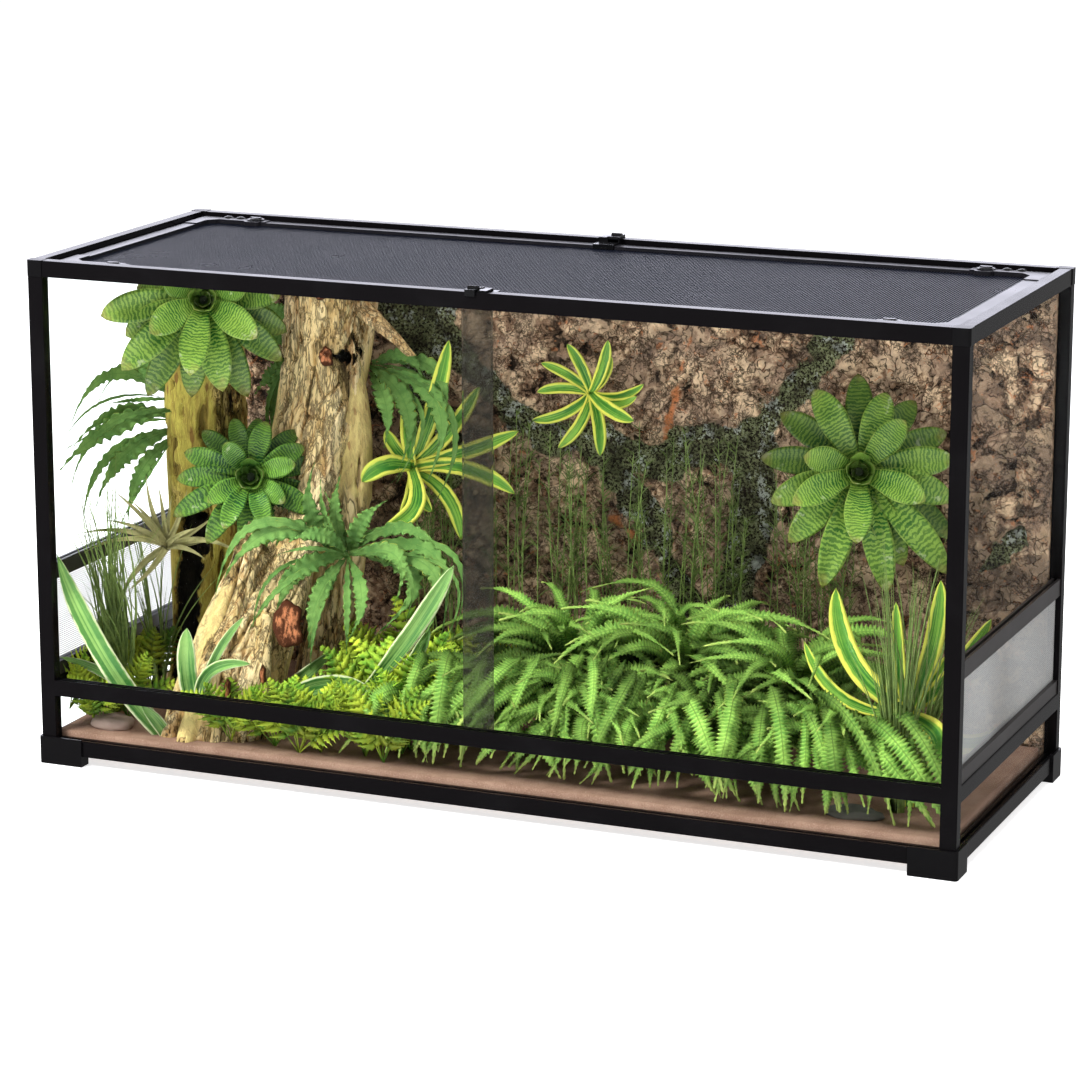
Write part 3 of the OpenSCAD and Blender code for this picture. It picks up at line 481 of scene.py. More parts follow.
def makeLeafTones():
    # light to deep by wavy cross bands 0.5 + 0.5 sin(2 pi (bands * v + wobble)), mottling and streaks along the blade;
    # then a midrib, a margin along both edges, a lighter end, pale scars, a dry tip, and a tone for each leaf
    w = GroupWires("leafTones", {"Light": (0.2, 0.4, 0.05, 1), "Deep": (0.03, 0.12, 0.02, 1),
                                 "Margin": (0.6, 0.6, 0.1, 1), "Bands": 22.0, "Band Amount": 0.5, "Margin Width": 0.0,
                                 "Mottle": 0.4, "Rib": 0.3, "Tip": 0.0, "Streaks": 0.0, "Wobble": 1.0, "Slant": 0.0,
                                 "Rib Tone": (0.3, 0.45, 0.1, 1), "Dry Tone": (0.33, 0.26, 0.07, 1), "Dry": 0.0},
                                 ("Color", "Height"))
    uv = w.add("UVMap").outputs[0]
    parts = w.add("SeparateXYZ")
    w.link(uv, parts.inputs[0])
    u, v = Value(w, parts.outputs[0]), Value(w, parts.outputs[1])
    place = w.add("TexCoord").outputs["Object"]
    edge = w.math("ABSOLUTE", u - 0.5) * 2.0
    wobble = w.noise(place, 75.0, 2.0) * 2.2 + w.noise(place, 260.0, 2.0) * 0.85
    wobble = wobble * w.take("Wobble") + edge * w.take("Slant")
    turns = v * w.take("Bands") + wobble
    band = (w.math("SINE", turns * (2 * pi)) + 1.0) * 0.5
    band = w.between(band, 0.2, 0.75)
    patch = w.between(w.noise(place, 34.0, 3.0), 0.35, 0.65)
    tone = w.attribute("tone")
    across = w.add("CombineXYZ")
    for k, value in enumerate((u * 11.0, v * 1.1, tone * 40.0)):
        w.link(value, across.inputs[k])
    streak = w.between(w.noise(across.outputs[0], 1.0, 2.0), 0.42, 0.58) * w.take("Streaks")
    deepShare = w.math("ADD", band * w.take("Band Amount"),
                       patch * w.take("Mottle") + streak, clamp=True)
    colour = w.mix(deepShare, w.take("Light"), w.take("Deep"))
    rib = w.between(edge, 0.02, 0.12, 1.0, 0.0) * w.take("Rib")
    colour = w.mix(rib, colour, w.take("Rib Tone"))
    wave = (w.noise(place, 90.0, 1.0) - 0.5) * 0.25
    rim = 1.0 - w.take("Margin Width")
    rimMask = w.between(edge + wave, rim - 0.05, rim + 0.05)
    colour = w.mix(rimMask, colour, w.take("Margin"))
    colour = w.mix(w.between(v, 0.3, 1.0) * 0.3, colour, w.take("Light"))
    scar = w.between(w.noise(place, 60.0, 3.0, 0.7) + v * 0.3, 0.84, 0.93)
    colour = w.mix(scar * w.take("Tip"), colour, (0.6, 0.63, 0.42, 1))
    dry = w.between(v + wave, 0.84, 1.02) * w.take("Dry")
    colour = w.mix(dry, colour, w.take("Dry Tone"))
    shade = w.add("HueSaturation")
    w.feed(shade.inputs["Color"], colour)
    w.feed(shade.inputs["Value"], tone)
    w.give("Color", shade.outputs[0])
    veins = w.math("SINE", u * 90.0)
    w.give("Height", veins * 0.5 + band)
    return w.tree


def makeBarkTones():
    # crack, body and ridge colours by relief and grain, a tone for each flake, patches and flecks by noise,
    # cracks = edges of bent cells of two sizes and fissures = level lines of stretched noise, both broken up,
    # smooth bare wood with pits where bare is marked, rust where rust is marked,
    # then crust where lichen is marked: dark ground, grey-green grains and white frost; near black where hollow is
    # marked, painted shade inside the hollow
    w = GroupWires("barkTones", {"Crack": (0.02, 0.014, 0.01, 1), "Body": (0.2, 0.12, 0.07, 1),
                                 "Ridge": (0.45, 0.32, 0.2, 1), "Patch": (0.4, 0.3, 0.06, 1),
                                 "Fleck": (0.4, 0.16, 0.06, 1), "Lichen": (0.26, 0.29, 0.17, 1),
                                 "Frost": (0.5, 0.54, 0.56, 1), "Stretch": (1, 1, 1), "Cells": 75.0, "Patches": 0.3,
                                 "Flecks": 0.4, "Lines": 0.9, "Fissures": 0.5}, ("Color", "Height"))
    place = w.vector("MULTIPLY", w.add("TexCoord").outputs["Object"], w.take("Stretch"))
    bend = w.add("TexNoise")
    w.feed(bend.inputs["Vector"], place)
    bend.inputs["Scale"].default_value = 44.0
    bent = w.vector("ADD", place, w.vector("MULTIPLY", w.vector("SUBTRACT", bend.outputs["Color"], (0.5, 0.5, 0.5)),
                                           (0.045, 0.045, 0.045)))
    relief = w.attribute("relief")
    lichen = w.attribute("lichen")
    grain = w.noise(place, 170.0, 6.0, 0.74)
    flake = w.add("TexVoronoi", feature="DISTANCE_TO_EDGE")
    w.feed(flake.inputs["Vector"], bent)
    w.feed(flake.inputs["Scale"], w.take("Cells"))
    broken = w.between(w.noise(place, 52.0, 3.0, 0.6), 0.42, 0.54)
    line = w.between(flake.outputs["Distance"], 0.0, 0.085, 1.0, 0.0) * broken
    level = relief + (grain - 0.5) * 1.5
    colour = w.mix(w.between(level, 0.14, 0.32), w.take("Crack"), w.take("Body"))
    colour = w.mix(w.between(level, 0.4, 0.72), colour, w.take("Ridge"))
    piece = w.add("TexVoronoi", feature="F1")
    w.feed(piece.inputs["Vector"], bent)
    w.feed(piece.inputs["Scale"], w.take("Cells"))
    pieceTone = w.add("SeparateXYZ")
    w.link(piece.outputs["Color"], pieceTone.inputs[0])
    colour = w.mix(w.between(pieceTone.outputs[0], 0.55, 1.0, 0.0, 0.45), colour, w.take("Ridge"))
    colour = w.mix(w.between(pieceTone.outputs[1], 0.4, 0.0, 0.0, 0.4), colour, w.take("Body"))
    patchy = w.between(w.noise(place, 15.0, 4.0, 0.6) + grain * 0.3, 0.6, 0.7)
    colour = w.mix(patchy * w.take("Patches"), colour, w.mix(grain, w.take("Body"), w.take("Patch")))
    flecks = w.between(w.noise(bent, 80.0, 4.0, 0.65) + line * 0.08, 0.62, 0.66)
    colour = w.mix(flecks * w.take("Flecks"), colour, w.take("Fleck"))
    small = w.add("TexVoronoi", feature="DISTANCE_TO_EDGE")
    w.feed(small.inputs["Vector"], bent)
    w.feed(small.inputs["Scale"], w.take("Cells") * 2.3)
    torn = w.between(w.noise(place, 33.0, 4.0, 0.6), 0.5, 0.42)
    line = w.math("MAXIMUM", line, w.between(small.outputs["Distance"], 0.0, 0.12, 1.0, 0.0) * torn)
    bare = w.attribute("bare") * w.between(relief, 0.3, 0.5)
    smooth = w.mix(w.between(grain, 0.42, 0.58), w.mix(0.5, w.take("Patch"), w.take("Body")), w.take("Patch"))
    pits = w.between(w.noise(place, 115.0, 2.0, 0.5), 0.66, 0.7)
    colour = w.mix(bare, colour, w.mix(pits, smooth, w.take("Body")))
    contour = w.math("ABSOLUTE", w.noise(place, 58.0, 4.0, 0.62) - 0.5)
    fissure = w.between(contour, 0.006, 0.034, 1.0, 0.0) * w.between(w.noise(place, 24.0, 2.0, 0.5), 0.4, 0.5)
    line = w.math("MAXIMUM", line, fissure * w.take("Fissures"))
    line = line * (1.0 - bare * 0.75)
    colour = w.mix(line * w.take("Lines"), colour, w.take("Crack"))
    fine = w.noise(place, 300.0, 3.0, 0.75)
    crust = w.mix(w.between(fine, 0.46, 0.53), w.take("Crack"), w.take("Lichen"))
    frosty = w.between(w.noise(place, 42.0, 4.0, 0.7) + fine * 0.6, 0.88, 0.93)
    crust = w.mix(frosty, crust, w.take("Frost"))
    shade = w.between(w.noise(place, 30.0, 3.0, 0.6), 0.46, 0.56)
    crust = w.mix(shade * 0.6, crust, w.take("Crack"))
    rust = w.attribute("rust") * w.between(grain, 0.35, 0.5)
    colour = w.mix(rust, colour, w.take("Fleck"))
    colour = w.mix(w.between(lichen + (grain - 0.5) * 0.9, 0.35, 0.6), colour, crust)
    hollow = w.attribute("hollow") + (grain - 0.5) * 1.6
    w.give("Color", w.mix(w.between(hollow, 0.35, 0.55), colour, (0.005, 0.004, 0.003, 1)))
    w.give("Height", grain - line * 0.7)
    return w.tree


def makeFineGrain():
    # moulded or painted skin: fine noise as height, and roughness that drifts round a middle value
    w = GroupWires("fineGrain", {"Color": (0.02, 0.02, 0.02, 1), "Dust Color": (0.2, 0.2, 0.22, 1), "Scale": 900.0,
                                 "Roughness": 0.4, "Dust": 0.05}, ("Color", "Roughness", "Height"))
    place = w.add("TexCoord").outputs["Object"]
    fine = w.noise(place, w.take("Scale"), 2.0)
    broad = w.noise(place, 9.0, 4.0, 0.6)
    w.give("Color", w.mix(w.between(broad, 0.45, 0.8) * w.take("Dust"), w.take("Color"), w.take("Dust Color")))
    w.give("Roughness", w.take("Roughness") + (broad - 0.5) * 0.16)
    w.give("Height", fine)
    return w.tree


leafTones, barkTones, fineGrain = makeLeafTones(), makeBarkTones(), makeFineGrain()


def newMaterial(name, roughness, specular):
    mat = bpy.data.materials.new(name)
    mat.use_nodes = True
    shader = mat.node_tree.nodes["Principled BSDF"]
    shader.inputs["Roughness"].default_value = roughness
    shader.inputs["Specular IOR Level"].default_value = specular
    return mat, Wires(mat.node_tree), shader


def useGroup(w, group, values):
    node = w.tree.nodes.new("ShaderNodeGroup")
    node.node_tree = group
    for key, value in values.items():
        socket = node.inputs[key]
        socket.default_value = (*value, 1) if socket.type == "RGBA" else value
    return node


def bumped(w, shader, height, strength, distance):
    bump = w.add("Bump")
    bump.inputs["Strength"].default_value = strength
    bump.inputs["Distance"].default_value = distance
    w.link(height, bump.inputs["Height"])
    w.link(bump.outputs[0], shader.inputs["Normal"])


def skinMaterial(name, colour, dust, scale, roughness, specular, dustShare, depth=0.00006):
    mat, w, shader = newMaterial(name, roughness, specular)
    grain = useGroup(w, fineGrain, {"Color": colour, "Dust Color": dust, "Scale": scale,
                                    "Roughness": roughness, "Dust": dustShare})
    w.link(grain.outputs["Color"], shader.inputs["Base Color"])
    w.link(grain.outputs["Roughness"], shader.inputs["Roughness"])
    bumped(w, shader, grain.outputs["Height"], 0.25, depth)
    return mat


def leafMaterial(name, roughness, specular, ridges, values):
    mat, w, shader = newMaterial(name, roughness, specular)
    tones = useGroup(w, leafTones, values)
    w.link(tones.outputs["Color"], shader.inputs["Base Color"])
    bumped(w, shader, tones.outputs["Height"], ridges, 0.0004)
    return mat


def barkMaterial(name, values):
    mat, w, shader = newMaterial(name, 0.85, 0.15)
    tones = useGroup(w, barkTones, values)
    w.link(tones.outputs["Color"], shader.inputs["Base Color"])
    bumped(w, shader, tones.outputs["Height"], 0.9, 0.0022)
    return mat


def glassMaterial(name, settings):
    # clear slab; rays from lamps pass straight through, so that what stands behind it is lit
    mat, w, shader = newMaterial(name, 0.0, settings["specular"])
    shader.inputs["Base Color"].default_value = settings["tint"]
    shader.inputs["Transmission Weight"].default_value = 1.0
    shader.inputs["IOR"].default_value = settings["ior"]
    clear = w.add("BsdfTransparent")
    clear.inputs[0].default_value = settings["lampTint"]
    path = w.add("LightPath")
    mixer = w.add("MixShader")
    w.link(w.math("MAXIMUM", path.outputs["Is Shadow Ray"], path.outputs["Is Diffuse Ray"]), mixer.inputs[0])
    w.link(shader.outputs[0], mixer.inputs[1])
    w.link(clear.outputs[0], mixer.inputs[2])
    out = w.tree.nodes["Material Output"]
    w.link(mixer.outputs[0], out.inputs["Surface"])
    return mat


# finishes

# moulded and painted skins: colour, dust colour, grain scale, roughness, specular, share of dust, grain depth
skinSettings = {
    "framePaint": ((0.0035, 0.003, 0.0035), (0.03, 0.03, 0.033), 700.0, 0.24, 0.075, 0.08),
    "blackPlastic": ((0.004, 0.0037, 0.0042), (0.03, 0.03, 0.033), 1400.0, 0.3, 0.11, 0.08, 0.0001),
    "ventPaint": ((0.02, 0.017, 0.017), (0.09, 0.085, 0.08), 900.0, 0.35, 0.3, 0.15),
    "lidPlastic": ((0.01, 0.0095, 0.012), (0.06, 0.06, 0.07), 1100.0, 0.3, 0.32, 0.1, 0.0001),
    "lidScreenWire": ((0.006, 0.008, 0.016), (0.05, 0.055, 0.07), 2500.0, 0.3, 0.34, 0.2),
    # two copies of one vent wire finish, light for the right screen and dark for the left: painted light and painted
    # shade
    "litVentWire": ((0.36, 0.36, 0.36), (0.5, 0.5, 0.5), 2500.0, 0.4, 0.5, 0.3),
    "shadedVentWire": ((0.05, 0.05, 0.052), (0.14, 0.14, 0.14), 2500.0, 0.4, 0.5, 0.3),
    "catchPlastic": ((0.004, 0.004, 0.0045), (0.05, 0.05, 0.055), 1600.0, 0.22, 0.3, 0.08, 0.00008),
}
glassSettings = {"ior": 1.012, "specular": 0.12, "tint": (0.97, 0.99, 0.98, 1), "lampTint": (0.97, 0.985, 0.975, 1)}
smokeSettings = {"colour": (0.026, 0.023, 0.019, 1), "alpha": 0.42}
# leaves: roughness, specular, strength of the ridges, tones
leafSettings = {
    "bromeliadLeaf": (0.36, 0.3, 0.3, {"Light": (0.28, 0.44, 0.07), "Deep": (0.014, 0.1, 0.012), "Bands": 24.0,
        "Band Amount": 0.74, "Mottle": 0.3, "Rib": 0.0, "Tip": 0.5, "Wobble": 1.1, "Dry": 0.6,
        "Margin": (0.36, 0.5, 0.1), "Margin Width": 0.03}),
    "deepBromeliadLeaf": (0.36, 0.3, 0.3, {"Light": (0.2, 0.39, 0.05), "Deep": (0.005, 0.06, 0.016), "Bands": 20.0,
        "Band Amount": 0.74, "Mottle": 0.4, "Rib": 0.0, "Tip": 0.5, "Wobble": 1.1, "Dry": 0.5,
        "Margin": (0.16, 0.34, 0.06), "Margin Width": 0.03}),
    "limeStripeLeaf": (0.42, 0.3, 0.12, {"Light": (0.24, 0.46, 0.06), "Deep": (0.03, 0.17, 0.022), "Bands": 2.0,
        "Band Amount": 0.1, "Mottle": 0.2, "Rib": 0.0, "Tip": 0.0, "Streaks": 0.8, "Margin": (0.8, 0.78, 0.12),
        "Margin Width": 0.42}),
    "paleStripeLeaf": (0.42, 0.3, 0.12, {"Light": (0.26, 0.44, 0.12), "Deep": (0.04, 0.16, 0.03), "Bands": 2.0,
        "Band Amount": 0.1, "Mottle": 0.2, "Rib": 0.0, "Tip": 0.0, "Streaks": 0.85, "Margin": (0.74, 0.77, 0.46),
        "Margin Width": 0.17}),
    # for the sword fern the bands run at the count of its teeth and darken the blade between its leaflets: painted
    # shade between the leaflets
    "swordFernLeaf": (0.5, 0.25, 0.5, {"Light": (0.35, 0.58, 0.11), "Deep": (0.045, 0.18, 0.025), "Bands": 30.0,
        "Band Amount": 0.42, "Mottle": 0.35, "Rib": 0.8, "Tip": 0.0, "Wobble": 0.0, "Slant": -0.8,
        "Rib Tone": (0.1, 0.17, 0.03), "Dry Tone": (0.6, 0.68, 0.18), "Dry": 0.75}),
    "crispFernLeaf": (0.62, 0.18, 0.2, {"Light": (0.165, 0.3, 0.075), "Deep": (0.055, 0.15, 0.035), "Bands": 3.0,
        "Band Amount": 0.25, "Mottle": 0.4, "Rib": 0.5, "Tip": 0.0, "Rib Tone": (0.08, 0.18, 0.04)}),
    "groundFernLeaf": (0.5, 0.25, 0.1, {"Light": (0.6, 0.72, 0.06), "Deep": (0.06, 0.27, 0.03), "Bands": 1.0,
        "Band Amount": 0.1, "Mottle": 0.8, "Rib": 0.1, "Tip": 0.0}),
    "airPlantLeaf": (0.6, 0.2, 0.15, {"Light": (0.42, 0.38, 0.18), "Deep": (0.2, 0.19, 0.07), "Bands": 3.0,
        "Band Amount": 0.3, "Mottle": 0.4, "Rib": 0.1, "Tip": 0.2, "Dry": 0.3}),
    "grassLeaf": (0.5, 0.25, 0.1, {"Light": (0.24, 0.33, 0.09), "Deep": (0.08, 0.13, 0.035), "Bands": 1.0,
        "Band Amount": 0.4, "Mottle": 0.4, "Rib": 0.0, "Tip": 0.0}),
}
barkSettings = {
    "wallBark": {"Crack": (0.014, 0.009, 0.007), "Body": (0.27, 0.16, 0.1), "Ridge": (0.8, 0.57, 0.37),
        "Patch": (0.42, 0.31, 0.24), "Fleck": (0.56, 0.2, 0.08), "Cells": 62.0, "Patches": 0.5, "Flecks": 0.6,
        "Lichen": (0.22, 0.235, 0.12), "Frost": (0.46, 0.48, 0.42), "Fissures": 0.8},
    "uprightBark": {"Crack": (0.012, 0.007, 0.004), "Body": (0.2, 0.11, 0.03), "Ridge": (0.62, 0.45, 0.15),
        "Patch": (0.42, 0.35, 0.07), "Fleck": (0.3, 0.1, 0.03), "Lichen": (0.24, 0.24, 0.05),
        "Frost": (0.5, 0.45, 0.2), "Stretch": (1, 1, 0.22), "Cells": 80.0, "Patches": 0.5, "Flecks": 0.45,
        "Lines": 0.85, "Fissures": 1.0},
    "trunkBark": {"Crack": (0.022, 0.012, 0.007), "Body": (0.52, 0.31, 0.13), "Ridge": (0.95, 0.75, 0.43),
        "Patch": (0.86, 0.68, 0.28), "Fleck": (0.34, 0.12, 0.04), "Lichen": (0.4, 0.36, 0.1),
        "Frost": (0.7, 0.6, 0.34), "Stretch": (1, 1, 0.22), "Cells": 80.0, "Patches": 0.5, "Flecks": 0.4,
        "Lines": 0.7, "Fissures": 1.0},
}
skins = {name: skinMaterial(name, *row) for name, row in skinSettings.items()}
clearGlass = glassMaterial("clearGlass", glassSettings)
smokeStrip, _, smokeShader = newMaterial("smokeStrip", 0.5, 0.04)
smokeShader.inputs["Base Color"].default_value = smokeSettings["colour"]
smokeShader.inputs["Alpha"].default_value = smokeSettings["alpha"]
leaves = {name: leafMaterial(name, *row) for name, row in leafSettings.items()}
barks = {name: barkMaterial(name, values) for name, values in barkSettings.items()}
print("finishes made")


def dress(names, material):
    for name in names.split():
        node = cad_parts[name]
        if not node.material_slots:
            node.data.materials.append(material)
        for slot in node.material_slots:
            slot.material = material


dress("base_rail_front base_rail_back base_rail_left base_rail_right post_front_left post_front_right "
      "post_back_left post_back_right top_rail_front top_rail_back top_rail_left top_rail_right door_sill "
      "side_rail_left side_rail_right", skins["framePaint"])
dress("foot_front_left foot_front_right foot_back_left foot_back_right top_corners door_runners", skins["blackPlastic"])
dress("vent_frame_left vent_frame_right", skins["ventPaint"])
dress("lid_rails lid_corners", skins["lidPlastic"])
dress("port_plugs lid_latch_front_left lid_latch_front_right lid_latch_back_left lid_latch_back_right "
      "clip_brackets clip_lever_front clip_lever_back", skins["catchPlastic"])
dress("base_panel kick_pane_front back_pane kick_pane_left kick_pane_right side_pane_left side_pane_right "
      "door_left door_right", clearGlass)
dress("door_strip", smokeStrip)

# floor

floorSettings = {"half": 14.0, "z": -0.0005, "colour": (0.92, 0.92, 0.93, 1), "glow": 0.7}


def makeFloor(settings):
    # one flat quad under the feet
    paper, _, shader = newMaterial("floorPaper", 0.9, 0.1)
    shader.inputs["Base Color"].default_value = settings["colour"]
    shader.inputs["Emission Color"].default_value = (1, 1, 1, 1)
    shader.inputs["Emission Strength"].default_value = settings["glow"]
    mesh = bpy.data.meshes.new("studioFloor")
    half, z = settings["half"], settings["z"]
    mesh.from_pydata([(-half, -half, z), (half, -half, z), (half, half, z), (-half, half, z)], [], [(0, 1, 2, 3)])
    mesh.materials.append(paper)
    studioFloor = bpy.data.objects.new("studioFloor", mesh)
    bpy.context.scene.collection.objects.link(studioFloor)
    studioFloor.visible_glossy = False   # the bright paper would veil the glass and the black paint


makeFloor(floorSettings)
print("floor made")

# woven screens


def bars(starts, ends, radius, up, flat=False):
    # closed square bars from starts to ends, corners at radius, with an edge facing up, or a face where flat is asked
    # for
    along = unit(ends - starts)
    side = unit(np.cross(along, up))
    top = np.cross(side, along)
    if flat:
        side, top = (side + top) * 0.7071, (top - side) * 0.7071
    ring = np.stack([top, side, -top, -side], 1) * radius
    points = np.concatenate([starts[:, None] + ring, ends[:, None] + ring], 1)
    one = np.array([[3, 2, 1, 0], [4, 5, 6, 7]] + [[k, (k + 1) % 4, 4 + (k + 1) % 4, 4 + k] for k in range(4)])
    faces = (one[None] + (np.arange(len(starts)) * 8)[:, None, None]).reshape(-1, 4)
    return points.reshape(-1, 3), faces


def wireScreen(name, box, across, up, pitches, radii, material, body, node):
    # two layers of straight wires over the box, the first along axis across[0] and the second on top along across[1]
    low, high = (np.array(b) for b in box)
    layers, shift, faces = [], 0, []
    mid = (low + high) / 2
    for k in (0, 1):
        run, step = across[k], across[1 - k]
        places = np.arange(low[step] + pitches[k] / 2, high[step], pitches[k])
        starts = np.repeat(mid[None], len(places), 0)
        starts[:, step] = places
        starts += np.array(up) * (radii[k] * 0.9 * (1 if k else -1))
        ends = starts.copy()
        starts[:, run], ends[:, run] = low[run], high[run]
        p, f = bars(starts, ends, radii[k], np.array(up, float), flat=k == 1)
        layers.append(p)
        faces.append(f + shift)
        shift += len(p)
    return newPiece(name, np.concatenate(layers), faces, material, body=body, stands=(node,), smooth=False)


lidScreenSettings = {"pitches": (0.0017, 0.0038), "radii": (0.00036, 0.00046)}
wireScreen("lid_screen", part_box("lid_mesh"), (0, 1), (0, 0, 1), lidScreenSettings["pitches"],
           lidScreenSettings["radii"],
           skins["lidScreenWire"], "lid", "lid_mesh")
ventScreenSettings = {"pitches": (0.0026, 0.0026), "radii": (0.00044, 0.0003)}
# the right screen takes the lit copy of the wire finish and the left the shaded copy: painted light and painted shade
for side in ("left", "right"):
    wireScreen("vent_screen_" + side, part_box("vent_mesh_" + side), (1, 2), (1, 0, 0), ventScreenSettings["pitches"],
               ventScreenSettings["radii"], skins["litVentWire"] if side == "right" else skins["shadedVentWire"],
               "cabinet", "vent_mesh_" + side)
print("screens made")

# sand

sandSettings = {"step": 0.006, "swell": 0.004, "ripple": 0.0015, "damp": (0.25, 0.14, 0.1, 1),
                "dry": (0.37, 0.225, 0.165, 1),
                "paleGrain": (0.55, 0.4, 0.31, 1), "darkGrain": (0.16, 0.09, 0.06, 1)}


def sandMaterial(settings):
    # damp to dry by broad noise, then pale and dark grains where fine noise is high and low
    mat, w, shader = newMaterial("sandSkin", 0.95, 0.1)
    place = w.add("TexCoord").outputs["Object"]
    grain = w.noise(place, 950.0, 2.0, 0.8)
    broad = w.noise(place, 22.0, 5.0, 0.65)
    colour = w.mix(w.between(broad, 0.3, 0.7), settings["damp"], settings["dry"])
    colour = w.mix(w.between(grain, 0.5, 0.72, 0.0, 0.6), colour, settings["paleGrain"])
    colour = w.mix(w.between(grain, 0.28, 0.42, 0.7, 0.0), colour, settings["darkGrain"])
    w.link(colour, shader.inputs["Base Color"])
    bumped(w, shader, grain, 0.6, 0.0008)
    return mat


def makeSand(settings):
    # top of the sand: flat level with low swells; its rim is carried straight down to the panel, and a bottom face
    # closes it
    low, high = (np.array(b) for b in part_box("substrate"))
    x = np.arange(low[0], high[0] + 1e-6, settings["step"])
    y = np.arange(low[1], high[1] + 1e-6, settings["step"])
    x, y = np.concatenate([[x[0]], x, [x[-1]]]), np.concatenate([[y[0]], y, [y[-1]]])
    gx, gy = np.meshgrid(x, y, indexing="ij")
    p = np.stack([gx, gy, np.zeros_like(gx)], -1)
    z = high[2] - 0.001 + settings["swell"] * (roughNoise(p * 9.0, 3, 4) - 0.5)
    z = z + settings["ripple"] * (roughNoise(p * 70.0, 3, 8) - 0.5)
    z = np.minimum(z, high[2] + 0.002)
    z[[0, -1]] = low[2]
    z[:, [0, -1]] = low[2]
    p[..., 2] = z
    faces = [gridFaces(*gx.shape)[:, ::-1], sheetRim(*gx.shape)[None]]
    newPiece("sand_bed", p, faces, sandMaterial(settings), stands=("substrate",))


makeSand(sandSettings)

# each stone: (u, v, y) of its middle, half sizes in metres, colour
stoneSettings = {"stones": [((853, 816, -0.16), (0.036, 0.016, 0.009), (0.13, 0.125, 0.11)),
                            ((114, 747, -0.17), (0.030, 0.018, 0.012), (0.4, 0.29, 0.25))]}


def makeStone(name, spot, half, colour):
    # ball of half sizes times 0.75 + 0.5 * noise, its lower part in the sand
    skin = skinMaterial(name + "_skin", colour, tuple(c * 0.4 for c in colour), 300.0, 0.85, 0.2, 0.8, 0.0006)
    turn, rise = np.linspace(0, 2 * pi, 40, endpoint=False), np.linspace(-pi / 2, pi / 2, 22)[1:-1]
    gr, gt = np.meshgrid(rise, turn, indexing="ij")
    ball = np.stack([np.cos(gr) * np.cos(gt), np.cos(gr) * np.sin(gt), np.sin(gr)], -1)
    centre = seenAt(*spot)
    centre[2] = 0.042 + 0.3 * half[2]
    p = centre + ball * np.array(half) * (0.75 + 0.5 * roughNoise(ball * 1.6 + centre * 9, 3, 5))[..., None]
    newPiece(name, p, tubeFaces(*gr.shape), skin)


for number, (spot, half, colour) in enumerate(stoneSettings["stones"]):
    makeStone("stone_%d" % (number + 1), spot, half, colour)
print("sand made")

# bark wall

wallSettings = {
    "cols": 425, "rows": 228, "depth": 0.013, "plates": 21.0, "scales": 58.0, "moreLeft": 0.07,
    # lines of lichen in picture units, each with its reach in metres
    "lichenLines": [
        ([(395, 300), (455, 350), (500, 410), (560, 440), (650, 462), (745, 445), (800, 385), (832, 330)], 0.034),
        ([(430, 310), (425, 400), (440, 470)], 0.045), ([(610, 470), (655, 540), (690, 612)], 0.030),
        ([(765, 430), (752, 520), (728, 610)], 0.036), ([(975, 575), (1020, 535)], 0.016)],
    "rustLines": [([(690, 332), (676, 385), (664, 440)], 0.0045), ([(610, 520), (640, 545)], 0.005)],
}


def lineAt(spots, depthY):
    # corners given in picture units, carried to the upright plane y = depthY, as (x, z)
    u, v = np.array(spots, float).T
    return seenAt(u, v, np.full(len(spots), depthY))[:, [0, 2]]


def lineReach(x, z, line):
    # least distance from (x, z) to any straight span of the line
    nearest = np.full(x.shape, 9.0)
    for a, b in zip(line[:-1], line[1:]):
        span = b - a
        t = np.clip(((x - a[0]) * span[0] + (z - a[1]) * span[1]) / np.dot(span, span), 0, 1)
        nearest = np.minimum(nearest, np.hypot(x - a[0] - t * span[0], z - a[1] - t * span[1]))
    return nearest


def barkRelief(p, plates, scales, seed):
    # rough ground, raised by whole plates and cut by broken cracks between bent cells of two sizes; 0 in a crack, 1 on
    # a ridge
    bent = p + 0.02 * np.stack([roughNoise(p * 28.0, 4, seed + k) - 0.5 for k in (1, 2, 3)], -1)
    large, tone = cellEdges(bent * plates, seed)
    small = cellEdges(bent * scales, seed + 5)[0]
    broken = ramp(roughNoise(p * 19.0, 3, seed + 21), 0.4, 0.56)
    ground = ramp(roughNoise(p * 55.0, 5, seed + 9), 0.22, 0.78)
    level = 0.3 + 0.5 * ground + 0.28 * (tone - 0.3)
    level = level - 0.5 * (1 - ramp(large, 0.0, 0.13)) * (0.35 + 0.65 * broken)
    level = level - 0.3 * (1 - ramp(small, 0.0, 0.2)) * (1 - 0.7 * broken)
    return np.clip(level, 0, 1)


